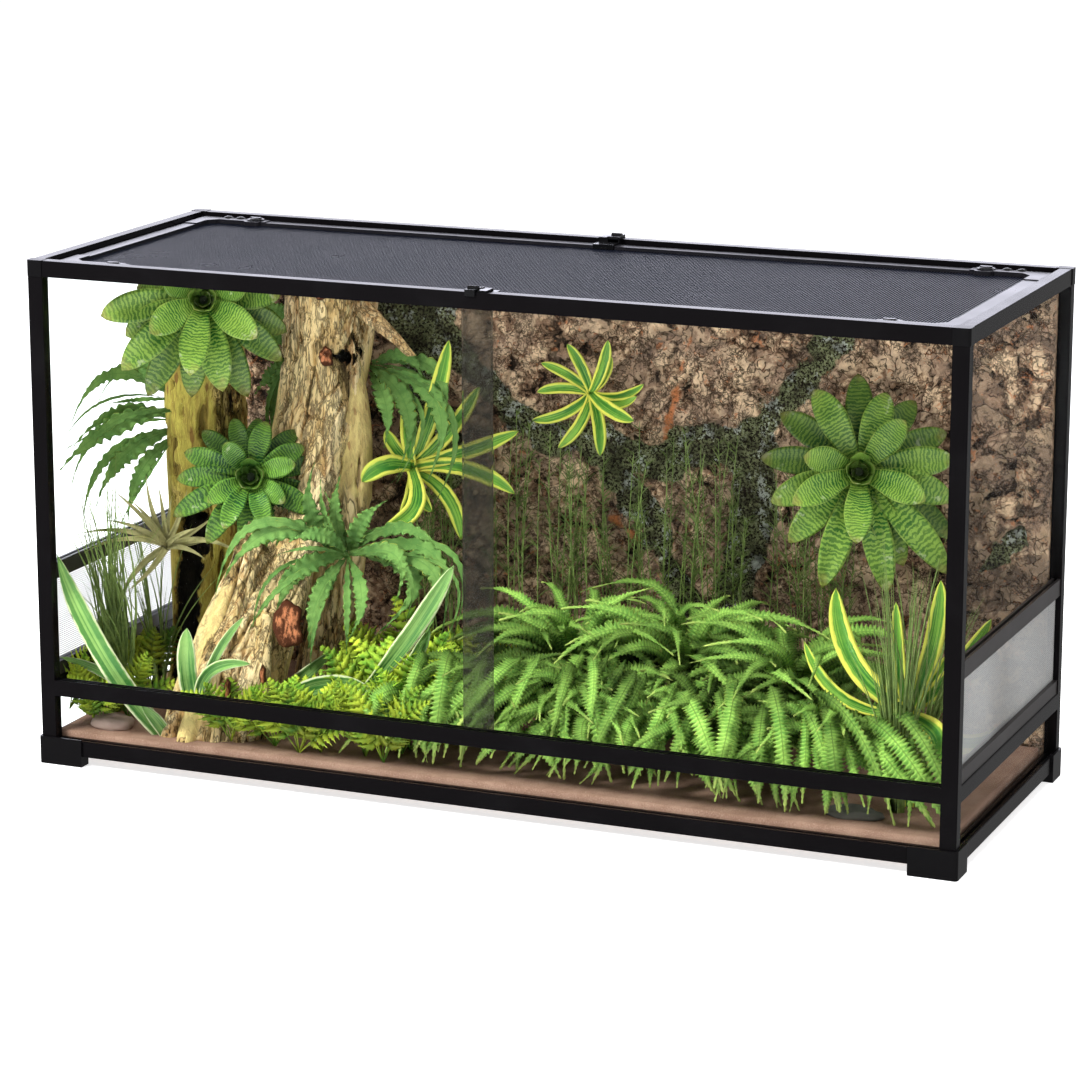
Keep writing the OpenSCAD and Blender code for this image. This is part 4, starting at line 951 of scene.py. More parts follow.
def makeBarkWall(settings):
    # y = front of the box + depth * (1 - 0.62 relief - 0.3 swell + 0.45 lichen) over a grid in x and z; the rim goes
    # straight back, and one flat face closes it
    low, high = (np.array(b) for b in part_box("bark_wall"))
    x = np.linspace(low[0] - settings["moreLeft"], high[0], settings["cols"])
    z = np.linspace(low[2], high[2], settings["rows"])
    x, z = np.concatenate([[x[0]], x, [x[-1]]]), np.concatenate([[z[0]], z, [z[-1]]])
    gz, gx = np.meshgrid(z, x, indexing="ij")
    p = np.stack([gx, np.zeros_like(gx), gz], -1)
    level = barkRelief(p, settings["plates"], settings["scales"], 3)
    lichen = np.zeros_like(gx)
    for spots, reach in settings["lichenLines"]:
        d = lineReach(gx, gz, lineAt(spots, low[1])) + 0.05 * (roughNoise(p * 22.0, 4, 31) - 0.5)
        lichen = np.maximum(lichen, ramp(d, reach, reach * 0.35))
    rust = np.zeros_like(gx)
    for spots, reach in settings["rustLines"]:
        d = lineReach(gx, gz, lineAt(spots, low[1])) + 0.016 * (roughNoise(p * 60.0, 3, 35) - 0.5)
        rust = np.maximum(rust, ramp(d, reach, reach * 0.3))
    swell = roughNoise(p * 6.0, 2, 77)
    p[..., 1] = low[1] + settings["depth"] * (1.0 - 0.62 * level - 0.3 * swell + 0.45 * lichen)
    # painted light and shade in the relief values, which set only the wall's colour: lighter over the upper right,
    # painted sunlight; darker towards the bottom, painted shade under the plants; darker towards the left end; and much
    # darker at the right end, painted shade
    paintedSunPatch = ramp(gx, 0.0, 0.45) * ramp(gz, 0.34, 0.56)
    level = level + 0.05 * paintedSunPatch - 0.04 * ramp(gz, 0.36, 0.14)
    level = level - 0.06 * ramp(gx, -0.1, -0.4) - 0.26 * ramp(gx, 0.42, 0.5)
    p[[0, -1], :, 1] = high[1]
    p[:, [0, -1], 1] = high[1]
    for value, even in ((level, 0.5), (lichen, 0.0), (rust, 0.0)):
        value[[0, -1]] = even   # the back is one flat face, so its rim has one value
        value[:, [0, -1]] = even
    faces = [gridFaces(*gx.shape), sheetRim(*gx.shape)[None, ::-1]]
    newPiece("bark_wall_face", p, faces, barks["wallBark"], values={"relief": level, "lichen": lichen, "rust": rust},
             stands=("bark_wall",))


makeBarkWall(wallSettings)
print("bark wall made")

# trunks

trunkSettings = {
    "round": 170, "upFine": 0.003, "depth": 0.010,
    "hollow": [(196, 520, 0.020), (193, 556, 0.020), (190, 612, 0.020), (186, 676, 0.020)],
    "socket": [(330, 352, 0.05), (342, 360, 0.05)],
    "branch": [(-0.318, 0.100, 0.560, 0.021), (-0.286, 0.096, 0.538, 0.016), (-0.254, 0.091, 0.516, 0.012),
        (-0.226, 0.088, 0.494, 0.007)],
    "upright": [(-0.511, 0.06, 0.040, 0.062), (-0.507, 0.06, 0.102, 0.052), (-0.505, 0.06, 0.262, 0.050),
                (-0.501, 0.06, 0.432, 0.054), (-0.497, 0.06, 0.572, 0.050)],
    "leaning": [(-0.384, -0.122, 0.040, 0.062), (-0.386, -0.110, 0.082, 0.055), (-0.374, -0.04, 0.190, 0.050),
                (-0.364, 0.036, 0.304, 0.048), (-0.344, 0.084, 0.427, 0.054), (-0.340, 0.106, 0.610, 0.063)],
    "stub": [(-0.342, 0.042, 0.040, 0.040), (-0.332, 0.054, 0.132, 0.033), (-0.318, 0.064, 0.228, 0.033),
             (-0.316, 0.078, 0.330, 0.036), (-0.322, 0.090, 0.420, 0.036), (-0.334, 0.098, 0.500, 0.028)],
    "roots": [[(-0.440, -0.160, 0.038, 0.024), (-0.426, -0.118, 0.120, 0.019), (-0.398, -0.048, 0.250, 0.014),
        (-0.388, -0.004, 0.330, 0.010)],
              [(-0.412, -0.178, 0.038, 0.021), (-0.402, -0.140, 0.110, 0.017), (-0.386, -0.080, 0.205, 0.013),
               (-0.380, -0.050, 0.27, 0.010)],
              [(-0.345, -0.150, 0.038, 0.024), (-0.350, -0.116, 0.110, 0.020), (-0.352, -0.070, 0.185, 0.015)]],
}


def trunkSheet(rings, settings, seed, lobes=0.1, twist=6.0, depth=None, finish=1.0):
    # rings are eased into a smooth path; skin = radius * (1 + lobes * sin(3 angle + twist * length) + 1.2 lobes *
    # noise)
    # - depth * (1 - relief), with the plates of the relief stretched threefold along the trunk; both ends are flat
    # faces
    rings = np.array(rings, float)
    depth = settings["depth"] if depth is None else depth
    length = np.linalg.norm(np.diff(rings[:, :3], axis=0), axis=1)
    at = np.concatenate([[0], np.cumsum(length)])
    rows, cols = int(at[-1] / settings["upFine"]), settings["round"]
    t = np.linspace(0, at[-1], rows)
    path = np.stack([np.interp(t, at, rings[:, k]) for k in range(4)], 1)
    window = max(3, rows // 6) | 1
    pad = np.concatenate([2 * path[:1] - path[window // 2:0:-1], path, 2 * path[-1:] - path[-2:-window // 2 - 1:-1]])
    path = np.stack([np.convolve(pad[:, k], np.ones(window) / window, "valid")[:rows] for k in range(4)], 1)
    angle = np.linspace(0, 2 * pi, cols, endpoint=False)
    ring = np.stack([np.cos(angle), np.sin(angle), np.zeros(cols)], -1)
    centre, r = path[:, None, :3], path[:, 3][:, None]
    skin = ring[None] * r[..., None]
    spot = np.stack([skin[..., 0], skin[..., 1], np.broadcast_to(t[:, None] * 0.36, skin.shape[:2])], -1) + seed * 3.1
    level = barkRelief(spot, 40.0, 95.0, seed)
    groove = 1 - ramp(np.abs(roughNoise(spot * 24.0, 3, seed + 80) - 0.5), 0.005, 0.045)
    level = np.clip(level + 0.12 - 0.85 * groove * finish, 0, 1)
    # smooth places with a few pits, where the rough bark is gone
    bare = ramp(roughNoise(spot * 9.0, 4, seed + 90), 0.5, 0.56) * finish
    level = level + bare * (0.85 - 0.7 * ramp(roughNoise(spot * 75.0, 2, seed + 95), 0.62, 0.7) - level)
    wander = roughNoise(spot * 9.0, 3, seed + 40) - 0.5
    shape = r * (1 + lobes * np.sin(3 * angle[None] + twist * t[:, None]) + 1.2 * lobes * wander)
    shape = shape - depth * (1 - level) * finish
    p = centre + ring[None] * shape[..., None]
    moss = ramp(roughNoise(spot * 16.0, 4, seed + 60), 0.52, 0.66) * 0.35 * (1 - bare)
    return p, tubeFaces(rows, cols), {"relief": np.clip(level * 1.05, 0, 1), "lichen": moss, "bare": bare}


def splitOpen(p, values, spots, reach):
    # hollow along a line on the side that faces the doors: the skin sinks in and its tones go to black, painted shade
    # inside the hollow
    line = seenAt(*np.array(spots).T)[:, [0, 2]]
    d = lineReach(p[..., 0], p[..., 2], line) + 0.03 * (roughNoise(p * 60.0, 4, 7) - 0.5)
    hollow = ramp(d, reach, reach * 0.3) * (p[..., 1] < spots[0][2] + 0.045)
    p[..., 1] += 0.014 * hollow
    for value in values.values():
        value *= 1 - hollow
    values["relief"] -= 1.2 * hollow
    values["hollow"] = hollow


def makeTrunks(settings):
    p, f, values = trunkSheet(settings["upright"], settings, 11)
    splitOpen(p, values, settings["hollow"], 0.024)
    newPiece("upright_trunk_bark", p, f, barks["uprightBark"], values=values,
             stands=("trunk_upright",))
    p, f, values = trunkSheet(settings["leaning"], settings, 23, lobes=0.14, twist=9.0)
    splitOpen(p, values, settings["socket"], 0.010)
    newPiece("leaning_trunk_bark", p, f, barks["trunkBark"], values=values, stands=("trunk_leaning",))
    p, f, values = trunkSheet(settings["stub"], settings, 37, depth=0.005)
    newPiece("stub_trunk_bark", p, f, barks["trunkBark"], values=values)
    p, f, values = trunkSheet(settings["branch"], settings, 71, depth=0.003)
    values["relief"] *= 0.55
    values["bare"] *= 0
    newPiece("cut_branch", p, f, barks["trunkBark"], values=values)
    for k, root in enumerate(settings["roots"]):
        p, f, values = trunkSheet(root, settings, 51 + k, lobes=0.2, twist=30.0, depth=0.003)
        newPiece("root_strand_%d" % (k + 1), p, f, barks["trunkBark"], values=values)


makeTrunks(trunkSettings)

knotSettings = {
    "colours": ((0.07, 0.022, 0.01, 1), (0.54, 0.2, 0.09, 1)),
    # middle (u, v), depth, half width in metres, rise, height for its width
    "knots": [((286, 626), -0.112, 0.0195, 0.004, 1.3), ((325, 357), 0.030, 0.009, 0.006, 1.2),
        ((319, 294), 0.034, 0.007, 0.005, 1.0),
              ((227, 690), -0.158, 0.0045, 0.003, 2.4), ((262, 676), -0.140, 0.004, 0.003, 2.6),
              ((257, 707), -0.150, 0.004, 0.003, 2.4)],
}


def knotMaterial(settings):
    # grain stretched along the trunk picks between two woods, darker where the relief falls towards the rim
    mat, w, shader = newMaterial("knotWood", 0.75, 0.15)
    place = w.add("TexCoord").outputs["Object"]
    grain = w.noise(w.vector("MULTIPLY", place, (1, 1, 0.35)), 210.0, 6.0, 0.7)
    rise = w.attribute("relief")
    level = grain + (rise - 1.0) * 0.28
    w.link(w.mix(w.between(level, 0.38, 0.6), *settings["colours"]), shader.inputs["Base Color"])
    bumped(w, shader, grain, 0.6, 0.0012)
    return mat


def makeKnot(name, material, spot, depthY, radius, rise, tall):
    # lump with an uneven outline and a dark rim: rise * (1 - q^6) over the distance q from its middle, roughened,
    # on a skirt that sinks into the bark
    centre = seenAt(spot[0], spot[1], depthY)
    q = np.linspace(1.0, 0.0, 12)[:-1]
    angle = np.linspace(0, 2 * pi, 28, endpoint=False)
    gq, ga = np.meshgrid(np.concatenate([[1.0], q]), angle, indexing="ij")
    rough = softNoise(np.stack([gq * 3 * np.cos(ga), gq * 3 * np.sin(ga), np.zeros_like(gq)], -1), int(spot[0]))
    height = rise * (1 - gq ** 6) + 0.5 * rise * (rough - 0.5) - np.where(gq > 0.95, 0.25 * rise, 0)
    height[0] = -0.02
    r = radius * gq * (0.5 + softNoise(np.stack([1.6 * np.cos(ga), 1.6 * np.sin(ga), np.full_like(ga, 3.3)], -1), 5))
    rim = np.clip(1.25 * (1 - gq ** 3) + 1.2 * (rough - 0.5), 0, 1)
    p = centre + (r * np.cos(ga))[..., None] * viewRight + (r * tall * np.sin(ga))[..., None] * viewUp
    p = p + height[..., None] * toEye
    newPiece(name, p, tubeFaces(*p.shape[:2]), material, values={"relief": rim})


knotWood = knotMaterial(knotSettings)
for number, knot in enumerate(knotSettings["knots"]):
    makeKnot("cut_knot_%d" % (number + 1), knotWood, *knot)
print("trunks made")

# rosettes with broad leaves

bromeliadSettings = {
    # each leaf: direction in degrees round the cup, reach in picture units, layer (0 behind, 1 middle, 2 front)
    "right": {"cup": (859, 472, 0.112), "width": 0.038, "tone": 0.85, "leaves": [
        (90, 99, 0), (119, 94, 1), (143, 98, 0), (172, 99, 0), (199, 94, 1), (225, 100, 1), (252, 122, 1),
        (283, 124, 1), (311, 136, 1), (295, 104, 1), (325, 116, 0), (343, 98, 1), (7, 96, 1), (24, 98, 0), (51, 92, 0),
        (71, 84, 1), (166, 59, 2), (266, 72, 2), (49, 67, 2), (205, 76, 2), (335, 70, 2)]},
    "middle": {"cup": (251, 477, -0.010), "width": 0.0285, "tone": 0.78, "leaves": [
        (83, 60, 0), (107, 62, 0), (137, 68, 0), (160, 71, 1), (182, 74, 1), (207, 87, 1), (237, 80, 1), (268, 81, 1),
        (288, 81, 1), (309, 73, 0), (330, 75, 1), (341, 78, 0), (12, 68, 0), (29, 62, 1), (45, 66, 0), (74, 58, 1),
        (127, 42, 2), (212, 49, 2), (244, 58, 2), (323, 44, 2), (15, 48, 2), (290, 52, 2)]},
    "top": {"cup": (204, 300, -0.020), "width": 0.041, "tone": 0.92, "leaves": [
        (170, 68, 1), (189, 104, 1), (205, 86, 1), (221, 108, 1), (239, 112, 0), (262, 98, 0),
        (282, 94, 1), (294, 106, 0), (322, 98, 0), (339, 88, 0), (4, 78, 1), (28, 62, 1), (150, 60, 1), (126, 42, 0),
        (56, 44, 0),
        (262, 78, 2), (324, 68, 2), (214, 62, 2), (18, 48, 2), (150, 44, 2)]},
}


def makeBromeliad(name, settings, material, stands):
    # blades lie in the plane that faces the cup's axis: the back ones bend away from it, the front ones stand up from
    # it
    u, v, depthY = settings["cup"]
    cup = seenAt(u, v, depthY)
    px = pxSize(cup)
    rows = np.array(settings["leaves"], float)
    whole = rows.astype(int)
    angle, reach, layer = np.radians(rows[:, 0]), rows[:, 1] * px, rows[:, 2]
    aim = np.cos(angle)[:, None] * viewRight + np.sin(angle)[:, None] * viewUp
    stand = np.choose(whole[:, 2], [-0.12, 0.06, 0.42])
    roots = cup + aim * 0.007 + toEye * (0.004 * layer[:, None] - 0.006)
    tips = cup + aim * reach[:, None] + toEye * (reach * stand)[:, None]
    bows = toEye * (reach * 0.13)[:, None] + viewUp * (reach * 0.03)[:, None]
    width = settings["width"] * np.choose(whole[:, 2], [0.92, 1.0, 0.95])
    # tone per leaf: back leaves darker and front leaves lighter, painted shade and painted light by layer; a fifth
    # darker for leaves that point up, lighter for those that point down
    tone = settings["tone"] * (1 - 0.2 * np.sin(angle)) * np.choose(whole[:, 2], [0.55, 0.9, 1.1])
    tone = tone * (0.93 + 0.14 * hashed(whole[:, 0], whole[:, 1], whole[:, 2], 5))
    parts = [leafField(roots, tips, bows, np.repeat(toEye[None], len(rows), 0), width, strapOutline, tone,
                       steps=20, across=9, fold=0.36, ripple=0.008, ripples=3, body=0.0016, curl=0.1, paintedRootShade=0.3)]
    turn = np.radians(np.array([90.0, 162.0, 234.0, 306.0, 18.0]))
    aim = np.cos(turn)[:, None] * viewRight + np.sin(turn)[:, None] * viewUp
    rim = np.array([0.024, 0.018, 0.016, 0.017, 0.018])[:, None]
    parts.append(leafField(cup - toEye * 0.004 + aim * 0.006, cup + aim * rim + toEye * 0.026,
                           aim * 0.003 + toEye * 0.003, -aim,
                           np.array([0.026, 0.024, 0.024, 0.024, 0.024]), ovalOutline,
                           settings["tone"] * np.array([1.1, 0.8, 0.95, 0.9, 0.75]),
                           steps=9, across=7, fold=0.45, body=0.0012))
    # an inner ring of small leaves with dark tones: painted shade down in the cup
    turn = turn + 0.6
    aim = np.cos(turn)[:, None] * viewRight + np.sin(turn)[:, None] * viewUp
    parts.append(leafField(cup + aim * 0.004, cup + aim * rim * 0.6 + toEye * 0.017, aim * 0.002 + toEye * 0.003, -aim,
                           np.full(5, 0.015),
                           ovalOutline, settings["tone"] * np.array([0.5, 0.3, 0.42, 0.28, 0.36]), steps=8, across=5,
                           fold=0.5, body=0.001))
    # a flat near black sheet across the middle of the cup, facing the eye: painted shade in the cup's throat
    parts.append(leafField(np.array([cup - viewUp * 0.008 + toEye * 0.003]),
                           np.array([cup + viewUp * 0.008 + toEye * 0.003]),
                           np.zeros((1, 3)), np.array([toEye]), np.array([0.014]), ovalOutline, np.array([0.1]),
                           steps=8, across=5, fold=0.0))
    stemFrom = np.array([cup - toEye * 0.004])
    parts.append(leafField(stemFrom, stemFrom - toEye * 0.05, np.zeros((1, 3)), np.array([viewUp]), np.array([0.018]),
                           lambda s: np.full_like(s, 1.0), np.array([0.5]), steps=4, across=5, fold=-0.8, body=0.008))
    points, faces, uv, values = joined(parts)
    return newPiece(name, points, faces, material, uv, values, stands=stands)


makeBromeliad("bark_bromeliad", bromeliadSettings["right"], leaves["bromeliadLeaf"], ("bromeliad_right",))
makeBromeliad("trunk_bromeliad", bromeliadSettings["middle"], leaves["deepBromeliadLeaf"], ("bromeliad_middle",))
makeBromeliad("crown_bromeliad", bromeliadSettings["top"], leaves["bromeliadLeaf"], ("bromeliad_top",))
print("broad rosettes made")

# long leaves: striped plants, air plant, crisp ferns


def longLeaves(rows, outline, tone, seed):
    # each row: root (u, v, y), tip (u, v, y), bow to the side and towards the eye as shares of its length, width in
    # millimetres
    rows = np.array(rows, float)
    roots, tips = seenAt(rows[:, 0], rows[:, 1], rows[:, 2]), seenAt(rows[:, 3], rows[:, 4], rows[:, 5])
    chord = tips - roots
    length = np.linalg.norm(chord, axis=1, keepdims=True)
    across = np.cross(chord / length, np.broadcast_to(toEye, chord.shape))
    bows = across * rows[:, 6:7] * length + toEye * rows[:, 7:8] * length
    count = np.arange(len(rows))
    tones = tone * (0.85 + 0.3 * hashed(count, count * 3, count * 7, seed))
    return roots, tips, bows, np.repeat(toEye[None], len(rows), 0), rows[:, 8] * 0.001, outline, tones


stripedSettings = {
    "wallTuft": [   # long plant between the leaning trunk and the wall
        (413, 466, 0.10, 449, 340, 0.115, 0.03, 0.06, 22), (413, 466, 0.10, 480, 386, 0.12, 0.06, 0.08, 20),
        (413, 466, 0.10, 519, 431, 0.12, 0.03, 0.10, 20), (413, 468, 0.10, 515, 494, 0.10, -0.12, 0.12, 21),
        (413, 470, 0.10, 461, 540, 0.09, -0.16, 0.12, 20), (412, 466, 0.09, 411, 392, 0.12, -0.05, 0.06, 19),
        (412, 466, 0.09, 362, 482, 0.04, 0.16, 0.22, 25), (412, 470, 0.08, 383, 528, 0.03, -0.30, 0.16, 23),
        (412, 470, 0.09, 400, 520, 0.06, -0.12, 0.12, 19), (413, 464, 0.11, 436, 392, 0.14, 0.04, 0.05, 18),
        (413, 468, 0.09, 432, 512, 0.06, 0.10, 0.12, 18), (412, 464, 0.10, 386, 430, 0.10, -0.08, 0.10, 18)],
    "wallSprig": [  # small plant on the wall
        (591, 393, 0.165, 567, 344, 0.15, 0.05, 0.05, 15), (591, 393, 0.165, 541, 363, 0.15, 0.06, 0.08, 14),
        (591, 393, 0.165, 532, 420, 0.14, -0.12, 0.12, 15), (591, 393, 0.165, 537, 392, 0.15, 0.08, 0.10, 14),
        (591, 393, 0.165, 558, 448, 0.14, -0.10, 0.12, 15), (591, 393, 0.165, 569, 442, 0.15, -0.08, 0.08, 12),
        (591, 393, 0.165, 600, 456, 0.13, -0.05, 0.10, 17), (591, 393, 0.165, 634, 421, 0.12, 0.08, 0.12, 18),
        (591, 393, 0.165, 637, 396, 0.14, 0.22, 0.08, 14), (591, 393, 0.165, 608, 340, 0.15, 0.06, 0.05, 15),
        (591, 393, 0.165, 611, 356, 0.16, 0.10, 0.03, 12), (591, 393, 0.165, 644, 384, 0.15, 0.16, 0.05, 12),
        (591, 393, 0.165, 560, 372, 0.16, 0.05, 0.03, 12)],
    "rightClump": [
        (906, 712, -0.09, 836, 588, -0.02, -0.16, 0.08, 26), (908, 712, -0.09, 941, 580, -0.07, 0.05, 0.06, 23),
        (909, 712, -0.08, 991, 619, -0.02, 0.05, 0.06, 20), (909, 714, -0.07, 1031, 706, 0.02, 0.26, 0.06, 21),
        (909, 712, -0.07, 992, 732, 0.03, 0.30, 0.05, 14), (905, 714, -0.08, 804, 641, -0.03, -0.20, 0.06, 15),
        (908, 716, -0.10, 928, 772, -0.13, -0.34, 0.20, 27), (905, 712, -0.08, 896, 602, -0.05, -0.02, 0.05, 15),
        (909, 712, -0.07, 952, 652, -0.04, 0.06, 0.05, 22), (905, 712, -0.08, 866, 668, -0.06, -0.06, 0.05, 17),
        (909, 810, -0.10, 906, 706, -0.085, 0.0, 0.0, 19), (904, 812, -0.10, 905, 712, -0.075, 0.0, 0.0, 16)],
}
paleSettings = {
    "leaves": [
        (182, 756, -0.165, 56, 554, -0.188, -0.05, 0.04, 27), (170, 742, -0.15, 60, 657, -0.17, 0.12, 0.03, 13),
        (172, 745, -0.16, 90, 684, -0.185, 0.10, 0.03, 13), (196, 716, -0.166, 187, 628, -0.175, -0.04, 0.04, 24),
        (199, 716, -0.166, 244, 617, -0.168, -0.08, 0.04, 12), (199, 716, -0.166, 251, 664, -0.176, -0.30, 0.05, 15),
        (178, 760, -0.165, 142, 706, -0.19, 0.08, 0.05, 17), (277, 712, -0.10, 374, 693, -0.13, -0.16, 0.06, 27),
        (290, 716, -0.09, 232, 742, -0.15, -0.20, 0.05, 16), (366, 690, -0.10, 454, 565, -0.12, 0.03, 0.03, 23),
        (250, 700, -0.05, 330, 652, -0.06, 0.08, 0.04, 18), (388, 690, -0.06, 430, 628, -0.06, 0.06, 0.03, 16)],
}


def makeStriped():
    shape = {"steps": 22, "across": 7, "fold": 0.35, "body": 0.0012}
    parts = [leafField(*longLeaves(stripedSettings[key], softOutline, tone, 3), **shape)
             for key, tone in (("wallTuft", 1.0), ("wallSprig", 0.95), ("rightClump", 0.95))]
    points, faces, uv, values = joined(parts)
    newPiece("lime_striped_plants", insideGlass(points, insideSettings), faces, leaves["limeStripeLeaf"], uv, values,
             stands=("striped_rosettes",))
    points, faces, uv, values = leafField(*longLeaves(paleSettings["leaves"], softOutline, 0.95, 9), **shape)
    newPiece("pale_striped_plants", insideGlass(points, insideSettings), faces, leaves["paleStripeLeaf"], uv, values,
             stands=("striped_clumps",))


makeStriped()

airSettings = {
    "leaves": [
        (167, 545, -0.02, 146, 476, -0.03, -0.05, 0.05, 9), (167, 545, -0.02, 114, 491, -0.05, 0.04, 0.08, 9),
        (167, 545, -0.02, 79, 534, -0.06, 0.10, 0.08, 9), (167, 545, -0.02, 84, 553, -0.06, 0.12, 0.10, 8),
        (167, 547, -0.02, 118, 606, -0.06, 0.10, 0.10, 10), (167, 547, -0.02, 126, 592, -0.07, -0.06, 0.10, 9),
        (167, 547, -0.02, 244, 556, -0.04, -0.14, 0.12, 10), (167, 545, -0.02, 225, 533, -0.02, 0.05, 0.08, 9),
        (167, 545, -0.02, 214, 516, 0.0, 0.05, 0.06, 9), (167, 545, -0.02, 187, 490, -0.01, 0.04, 0.04, 9),
        (167, 545, -0.02, 158, 484, -0.02, 0.02, 0.05, 8), (167, 545, -0.02, 172, 496, -0.01, -0.02, 0.05, 8),
        (167, 545, -0.02, 130, 500, -0.05, 0.06, 0.08, 8), (167, 546, -0.02, 206, 560, -0.05, -0.10, 0.12, 9),
        (167, 545, -0.02, 104, 520, -0.05, 0.08, 0.10, 8), (167, 545, -0.02, 140, 512, -0.06, 0.05, 0.14, 9),
        (167, 545, -0.02, 196, 528, -0.05, -0.05, 0.14, 9)],
}
points, faces, uv, values = leafField(*longLeaves(airSettings["leaves"], bladeOutline, 1.0, 21),
                                      steps=18, across=5, fold=0.6, body=0.0012)
newPiece("air_plant_leaves", insideGlass(points, insideSettings), faces, leaves["airPlantLeaf"], uv, values,
         stands=("air_plant",))

crispSettings = {
    "lobes": 13, "depth": 0.42,
    "fronds": [
        # fern on the stub, right of the leaning trunk
        (348, 556, -0.01, 315, 462, -0.03, -0.16, 0.10, 26), (348, 556, -0.02, 224, 578, -0.10, 0.24, 0.16, 27),
        (348, 556, -0.02, 266, 608, -0.11, 0.12, 0.20, 26), (348, 556, -0.02, 309, 648, -0.10, 0.08, 0.20, 24),
        (348, 556, -0.02, 348, 640, -0.09, -0.14, 0.20, 20), (350, 552, -0.02, 374, 636, -0.06, -0.50, 0.16, 26),
        (350, 552, 0.0, 452, 580, -0.02, -0.28, 0.14, 18), (348, 556, 0.0, 341, 474, 0.0, -0.08, 0.10, 20),
        (350, 556, 0.0, 388, 500, 0.0, -0.10, 0.10, 24), (350, 552, -0.01, 440, 640, -0.05, -0.36, 0.16, 20),
        (348, 556, -0.03, 288, 542, -0.08, 0.20, 0.20, 22), (350, 554, -0.02, 410, 660, -0.07, -0.42, 0.18, 22),
        (350, 554, -0.03, 394, 606, -0.06, -0.40, 0.20, 24), (348, 556, -0.02, 275, 622, -0.10, 0.16, 0.18, 18),
        # fern behind the upright trunk
        (176, 410, 0.02, 60, 470, -0.10, 0.08, 0.10, 28), (174, 400, 0.03, 71, 424, -0.06, 0.30, 0.08, 17),
        (176, 396, 0.03, 98, 378, -0.02, 0.22, 0.06, 18), (176, 430, 0.03, 96, 508, -0.06, 0.12, 0.10, 26),
        (176, 436, 0.03, 128, 524, -0.04, 0.10, 0.10, 20), (176, 402, 0.03, 82, 396, -0.02, 0.24, 0.10, 16),
        (176, 400, 0.03, 120, 372, -0.01, 0.16, 0.06, 16), (176, 420, 0.03, 74, 446, -0.06, 0.16, 0.10, 20),
        # ferns behind the leaning trunk
        (370, 366, 0.12, 428, 480, 0.05, -0.26, 0.10, 26), (370, 366, 0.12, 398, 470, 0.04, -0.18, 0.10, 26),
        (372, 364, 0.12, 444, 430, 0.08, -0.30, 0.06, 20), (370, 372, 0.12, 384, 448, 0.03, -0.10, 0.08, 22),
        (372, 362, 0.12, 424, 390, 0.10, -0.28, 0.06, 18), (304, 366, 0.13, 254, 396, 0.09, 0.12, 0.04, 28),
        (304, 346, 0.13, 250, 338, 0.12, 0.10, 0.04, 26), (300, 330, 0.13, 258, 304, 0.12, 0.08, 0.04, 24),
        (304, 352, 0.12, 272, 430, 0.09, 0.10, 0.04, 26)],
}
# every frond again, narrower, bent the other way and turned a little, for the thin curling ones between
more = np.array(crispSettings["fronds"])
count = np.arange(len(more))
roll = [hashed(count, count * 7, count * 0 + m, 61) for m in range(4)]
more[:, 3] += 44 * (roll[0] - 0.5)
more[:, 4] += 22 + 30 * (roll[1] - 0.5)
more[:, 5] += 0.02
more[:, 6] = 0.9 * more[:, 6] + 0.3 * (roll[2] - 0.5)
more[:, 7] += 0.08
more[:, 8] *= 0.22 + 0.3 * roll[3]
roots, tips, bows, facing, width, outline, tones = longLeaves(
    np.concatenate([crispSettings["fronds"], more]),
    lambda s: wavyOutline(s, crispSettings["lobes"], crispSettings["depth"]), 1.0, 33)
count = np.arange(len(roots))
turned = np.stack([hashed(count, count * 5, count * 0, 40 + k) for k in range(3)], 1) - 0.5
points, faces, uv, values = leafField(
    roots, tips, bows * 1.25, unit(facing + 0.5 * turned), width * 1.08, outline, tones,
    steps=85, across=7, fold=0.22, ripple=0.1, ripples=11, body=0.001, skew=0.045, shuffle=0.08, paintedRootShade=0.35)
newPiece("crisp_fern_fronds", insideGlass(points, insideSettings), faces, leaves["crispFernLeaf"], uv, values,
         stands=("crisp_ferns",))
print("long leaves made")

# ferns on the ground

swordSettings = {
    # crowns: place, height over the sand, fronds in a set, frond length, first turn in degrees
    "back": [((0.030, 0.020), 0.100, 8, 0.235, 0.0), ((0.170, 0.030), 0.112, 8, 0.250, 40.0),
        ((0.320, 0.014), 0.100, 8, 0.235, 80.0)],
    "front": [((-0.030, -0.080), 0.070, 6, 0.165, 10.0), ((0.098, -0.088), 0.070, 6, 0.165, 25.0),
              ((0.236, -0.088), 0.070, 6, 0.165, 60.0), ((0.376, -0.084), 0.070, 6, 0.165, 100.0)],
    "sand": 0.042, "crownReach": 0.012, "flatten": 0.62, "golden": 137.5,
    "teeth": 30, "notch": 0.55, "width": 0.027, "sets": 7, "fringe": 84,
}


def arcPlace(size, rise, droop, t):
    # point along an arc that leaves at the angle rise and bends down by droop over its length: (outwards, upwards)
    k = size / np.radians(droop)
    now = np.radians(rise - droop * t)
    return k * (np.sin(np.radians(rise)) - np.sin(now)), k * (np.cos(now) - np.cos(np.radians(rise)))


